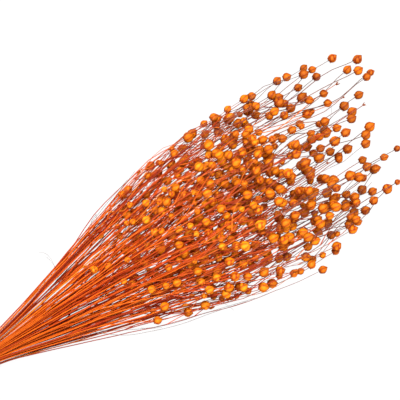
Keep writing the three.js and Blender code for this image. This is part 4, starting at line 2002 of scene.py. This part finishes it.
@dataclass
class TwineTie:
    """The twine wound round the waist, with its knot on top and two frayed tails."""

    form: BunchForm
    twine: bpy.types.Material
    turns: int = 3
    turn_radius: float = 14.4
    wound_width: float = 4.8
    plies: int = 3
    ply_radius: float = 0.64
    ply_offset: float = 0.6
    lay: float = 7.0
    rings_a_lay: int = 9
    sides: int = 6
    steps_a_turn: int = 56
    stray: float = 0.25
    strays_a_turn: float = 3.1
    knot_size: float = 0.72
    knot_depth: float = -1.2
    knot_steps: int = 60
    knot_across: float = 1.5
    knot_lift: float = 0.4
    tails: tuple = (
        ((0, 1.5, 0.6), (-9, 6, 2.4), (-19, 9.5, 0.6), (-31, 10.5, -1.6)),
        ((0, 1.5, 0.6), (-8, -4, 2.2), (-18, -7, 0.8), (-27, -7.5, -0.6)),
    )
    tail_steps: int = 12
    frayed: float = 5.0
    fray_fibres: int = 14
    fray_spread: float = 0.55
    fray_root: float = 0.6
    fray_width: float = 0.8
    fray_radii: tuple = (0.16, 0.05)
    fray_points: int = 5
    fray_sides: int = 4
    fuzz: int = 150
    fuzz_root: float = 0.8
    fuzz_length: tuple = (0.8, 2.2)
    fuzz_radii: tuple = (0.06, 0.03)
    fuzz_points: int = 4
    fuzz_sides: int = 3
    fuzz_least_height: float = 0.1
    fuzz_most_over: float = 4.0
    draw: Draw = field(default_factory=lambda: Draw(12))

    @property
    def top(self) -> float:
        """Returns how high the wound twine stands."""
        return self.form.waist_height + self.turn_radius + self.ply_radius + self.ply_offset

    def build(self) -> None:
        """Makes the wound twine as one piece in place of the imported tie."""
        mesh = GrownMesh()
        windings = self.windings()
        tails = [self.tail(points) for points in self.tails]
        for path in (windings, self.knot(), *tails):
            self.add_twine(mesh, path)
        for path in tails:
            self.add_fray(mesh, path)
        self.add_fuzz(mesh, [windings, *tails])
        mesh.piece("wound_twine", [self.twine], "twine", "twine_tie")

    def windings(self) -> np.ndarray:
        """Returns the path of the turns round the waist, a little uneven and kept off the floor."""
        turn = np.linspace(0, 2 * math.pi * self.turns, self.steps_a_turn * self.turns)
        across = self.turn_radius * np.sin(turn)
        up = self.form.waist_height + self.turn_radius * np.cos(turn)
        along = (turn / turn[-1] - 0.5) * self.wound_width + self.stray * np.sin(self.strays_a_turn * turn)
        lowest = self.ply_radius + self.ply_offset
        return np.stack([along, across, np.maximum(up, lowest)], axis=1)

    def knot(self) -> np.ndarray:
        """Returns the path of the knot, a trefoil drawn tight."""
        turn = np.linspace(0, 2 * math.pi, self.knot_steps)
        path = np.stack([
            np.sin(turn) + 2 * np.sin(2 * turn),
            np.cos(turn) - 2 * np.cos(2 * turn),
            self.knot_depth * np.sin(3 * turn),
        ], axis=1)
        return path * self.knot_size + np.array([0, self.knot_across, self.top + self.knot_lift])

    def tail(self, points: tuple) -> np.ndarray:
        """Returns a tail's path, a smooth curve through its points."""
        return smooth_path(np.array(points, float) + np.array([0, 0, self.top]), self.tail_steps)

    def add_twine(self, mesh: GrownMesh, path: np.ndarray) -> None:
        """Adds the twisted plies along a path.

        Args:
            mesh: The mesh to add them to.
            path: The path of the twine's middle.
        """
        gone = np.concatenate([[0], np.cumsum(np.linalg.norm(np.diff(path, axis=0), axis=1))])
        count = round(gone[-1] / self.lay * self.rings_a_lay)
        places = np.linspace(0, gone[-1], count)
        fine = np.stack([np.interp(places, gone, path[:, axis]) for axis in range(3)], axis=1)
        frames = ring_places(fine, np.ones(count))
        for ply in range(self.plies):
            turns = 2 * math.pi * (places / self.lay + ply / self.plies)
            strand = np.array([
                place @ Vector((self.ply_offset * math.cos(turn), self.ply_offset * math.sin(turn), 0))
                for place, turn in zip(frames, turns)
            ])
            strand[:, 2] = np.maximum(strand[:, 2], self.ply_radius)
            mesh.tube(strand, np.full(count, self.ply_radius), self.sides, self.draw.share())

    def add_fray(self, mesh: GrownMesh, tail: np.ndarray) -> None:
        """Adds the fibres that splay from a tail's cut end.

        Args:
            mesh: The mesh to add them to.
            tail: The tail's path.
        """
        way = unit(tail[-1] - tail[-2])
        steps = np.linspace(0, 1, self.fray_points)
        for _ in range(self.fray_fibres):
            spread = np.array([self.draw.around(self.fray_spread) for _ in range(3)])
            root = tail[-1] - way * self.fray_root + spread * self.fray_width
            length = self.frayed * self.draw.between(0.5, 1.0)
            path = np.array([root + (way + spread * t) * t * length for t in steps])
            radii = np.linspace(*self.fray_radii, self.fray_points)
            mesh.tube(path, radii, self.fray_sides, self.draw.share())

    def add_fuzz(self, mesh: GrownMesh, paths: list) -> None:
        """Adds the short loose fibres that stand off the twine.

        Args:
            mesh: The mesh to add them to.
            paths: The paths of the windings and of the two tails, which get one fibre in three.
        """
        draw = self.draw
        out = self.ply_radius + self.ply_offset
        steps = np.linspace(0, 1, self.fuzz_points)
        for number in range(self.fuzz):
            path = paths[0] if number % 3 else paths[1 + number // 3 % 2]
            k = 1 + int(draw.share() * (len(path) - 2))
            way = unit(path[k + 1] - path[k - 1])
            off = unit(np.cross(way, [draw.around(1), draw.around(1), draw.around(1)]))
            root, length = path[k] + off * self.fuzz_root * out, draw.between(*self.fuzz_length)
            hair = np.array([root + off * t * length + way * t * t * length for t in steps])
            low, high = hair[:, 2].min(), hair[:, 2].max()
            if low > self.fuzz_least_height and high < self.top + self.fuzz_most_over:
                radii = np.linspace(*self.fuzz_radii, self.fuzz_points)
                mesh.tube(hair, radii, self.fuzz_sides, draw.share())


# The studio


@dataclass(frozen=True)
class Studio:
    """A white table under soft light, seen from straight above as in the photograph."""

    centre: tuple = (243.1, 21.4)
    frame_width: float = 360.0
    camera_height: float = 3000.0
    sensor: float = 36.0
    mid_height: float = 45.0
    turn: float = -31.0
    floor_size: float = 12.0
    floor_colour: str = "#3c3c3c"
    floor_glow: float = 0.96
    sun: float = 4.5
    sun_angle: float = 14.0
    sun_tilt: float = 16.0
    sky: float = 1.3
    ground: float = 0.45
    ground_colour: str = "#ffac64"
    ground_to: float = -0.4
    sky_from: float = -0.05
    white: str = "#ffffff"

    def build(self) -> None:
        """Makes the floor, the lights and the camera."""
        self.add_floor()
        self.add_lights()
        self.add_camera()
        bpy.context.scene.view_settings.view_transform = "Standard"

    def add_floor(self) -> None:
        """Adds the floor, a matt white sheet lit from below as a light table is."""
        mesh = bmesh.new()
        bmesh.ops.create_grid(mesh, x_segments=1, y_segments=1, size=self.floor_size / 2)
        floor = add_object("floor", mesh_data(mesh, "floor"))
        material, tree = new_material("light_table_acrylic")
        shader = add_node(tree, "ShaderNodeBsdfPrincipled", {
            "Base Color": linear(self.floor_colour), "Roughness": 1.0, "Specular IOR Level": 0.0,
            "Emission Color": linear(self.white), "Emission Strength": self.floor_glow,
        })
        add_node(tree, "ShaderNodeOutputMaterial", {"Surface": shader.outputs["BSDF"]})
        floor.data.materials.append(material)
        # Its light stays off the bunch, whose undersides and rims would otherwise glow
        floor.visible_diffuse = False
        floor.visible_glossy = False

    def add_lights(self) -> None:
        """Adds a broad lamp above the top of the picture, a white sky and a warm glow from below."""
        lamp = bpy.data.lights.new("key", "SUN")
        lamp.energy = self.sun
        lamp.angle = math.radians(self.sun_angle)
        turn = Matrix.Rotation(math.radians(self.turn), 4, "Z")
        tilt = Matrix.Rotation(math.radians(-self.sun_tilt), 4, "X")
        add_object("key", lamp).matrix_world = turn @ tilt
        world = bpy.data.worlds.new("sky")
        world.use_nodes = True
        tree = world.node_tree
        tree.nodes.clear()
        way = add_node(tree, "ShaderNodeTexCoord")
        parts = add_node(tree, "ShaderNodeSeparateXYZ", {"Vector": way.outputs["Generated"]})
        level = add_node(tree, "ShaderNodeMapRange", {
            "Value": parts.outputs["Z"], "From Min": self.ground_to, "From Max": self.sky_from,
        })
        colour = add_node(tree, "ShaderNodeMix", {
            "Factor": level.outputs["Result"], Mix.A: linear(self.ground_colour),
            Mix.B: linear(self.white),
        }, **Mix.COLOURS)
        strength = add_node(tree, "ShaderNodeMapRange", {
            "Value": level.outputs["Result"], "To Min": self.ground, "To Max": self.sky,
        })
        sky = add_node(tree, "ShaderNodeBackground", {
            "Color": colour.outputs[Mix.RESULT], "Strength": strength.outputs["Result"],
        })
        add_node(tree, "ShaderNodeOutputWorld", {"Surface": sky.outputs["Background"]})
        bpy.context.scene.world = world

    def add_camera(self) -> None:
        """Adds the camera, high above the middle of the picture with a long lens."""
        lens = bpy.data.cameras.new("camera")
        lens.sensor_width = self.sensor
        lens.lens = self.sensor * (self.camera_height - self.mid_height) / self.frame_width
        camera = add_object("camera", lens)
        camera.location = Vector((*self.centre, self.camera_height)) * MM
        camera.rotation_euler = (0, 0, math.radians(self.turn))
        bpy.context.scene.camera = camera


def main() -> None:
    """Grows the bunch, dresses it and lights it."""
    logging.basicConfig(level=logging.INFO, format="%(message)s")
    growth = SprayGrowth()
    growth.grow()
    TwigGrowth(growth).grow()
    LOG.info("%d stems, branches and stalks, %d bolls, buds and husks",
             len(growth.space.threads), len(growth.space.bolls))
    straw, capsule = StrawFinish().material(), CapsuleFinish().material()
    FineSprays(growth, straw, capsule).build()
    Fibres(growth, straw).build()
    TwineTie(growth.form, TwineFinish().material()).build()
    Studio().build()


if __name__ == "__main__":
    main()
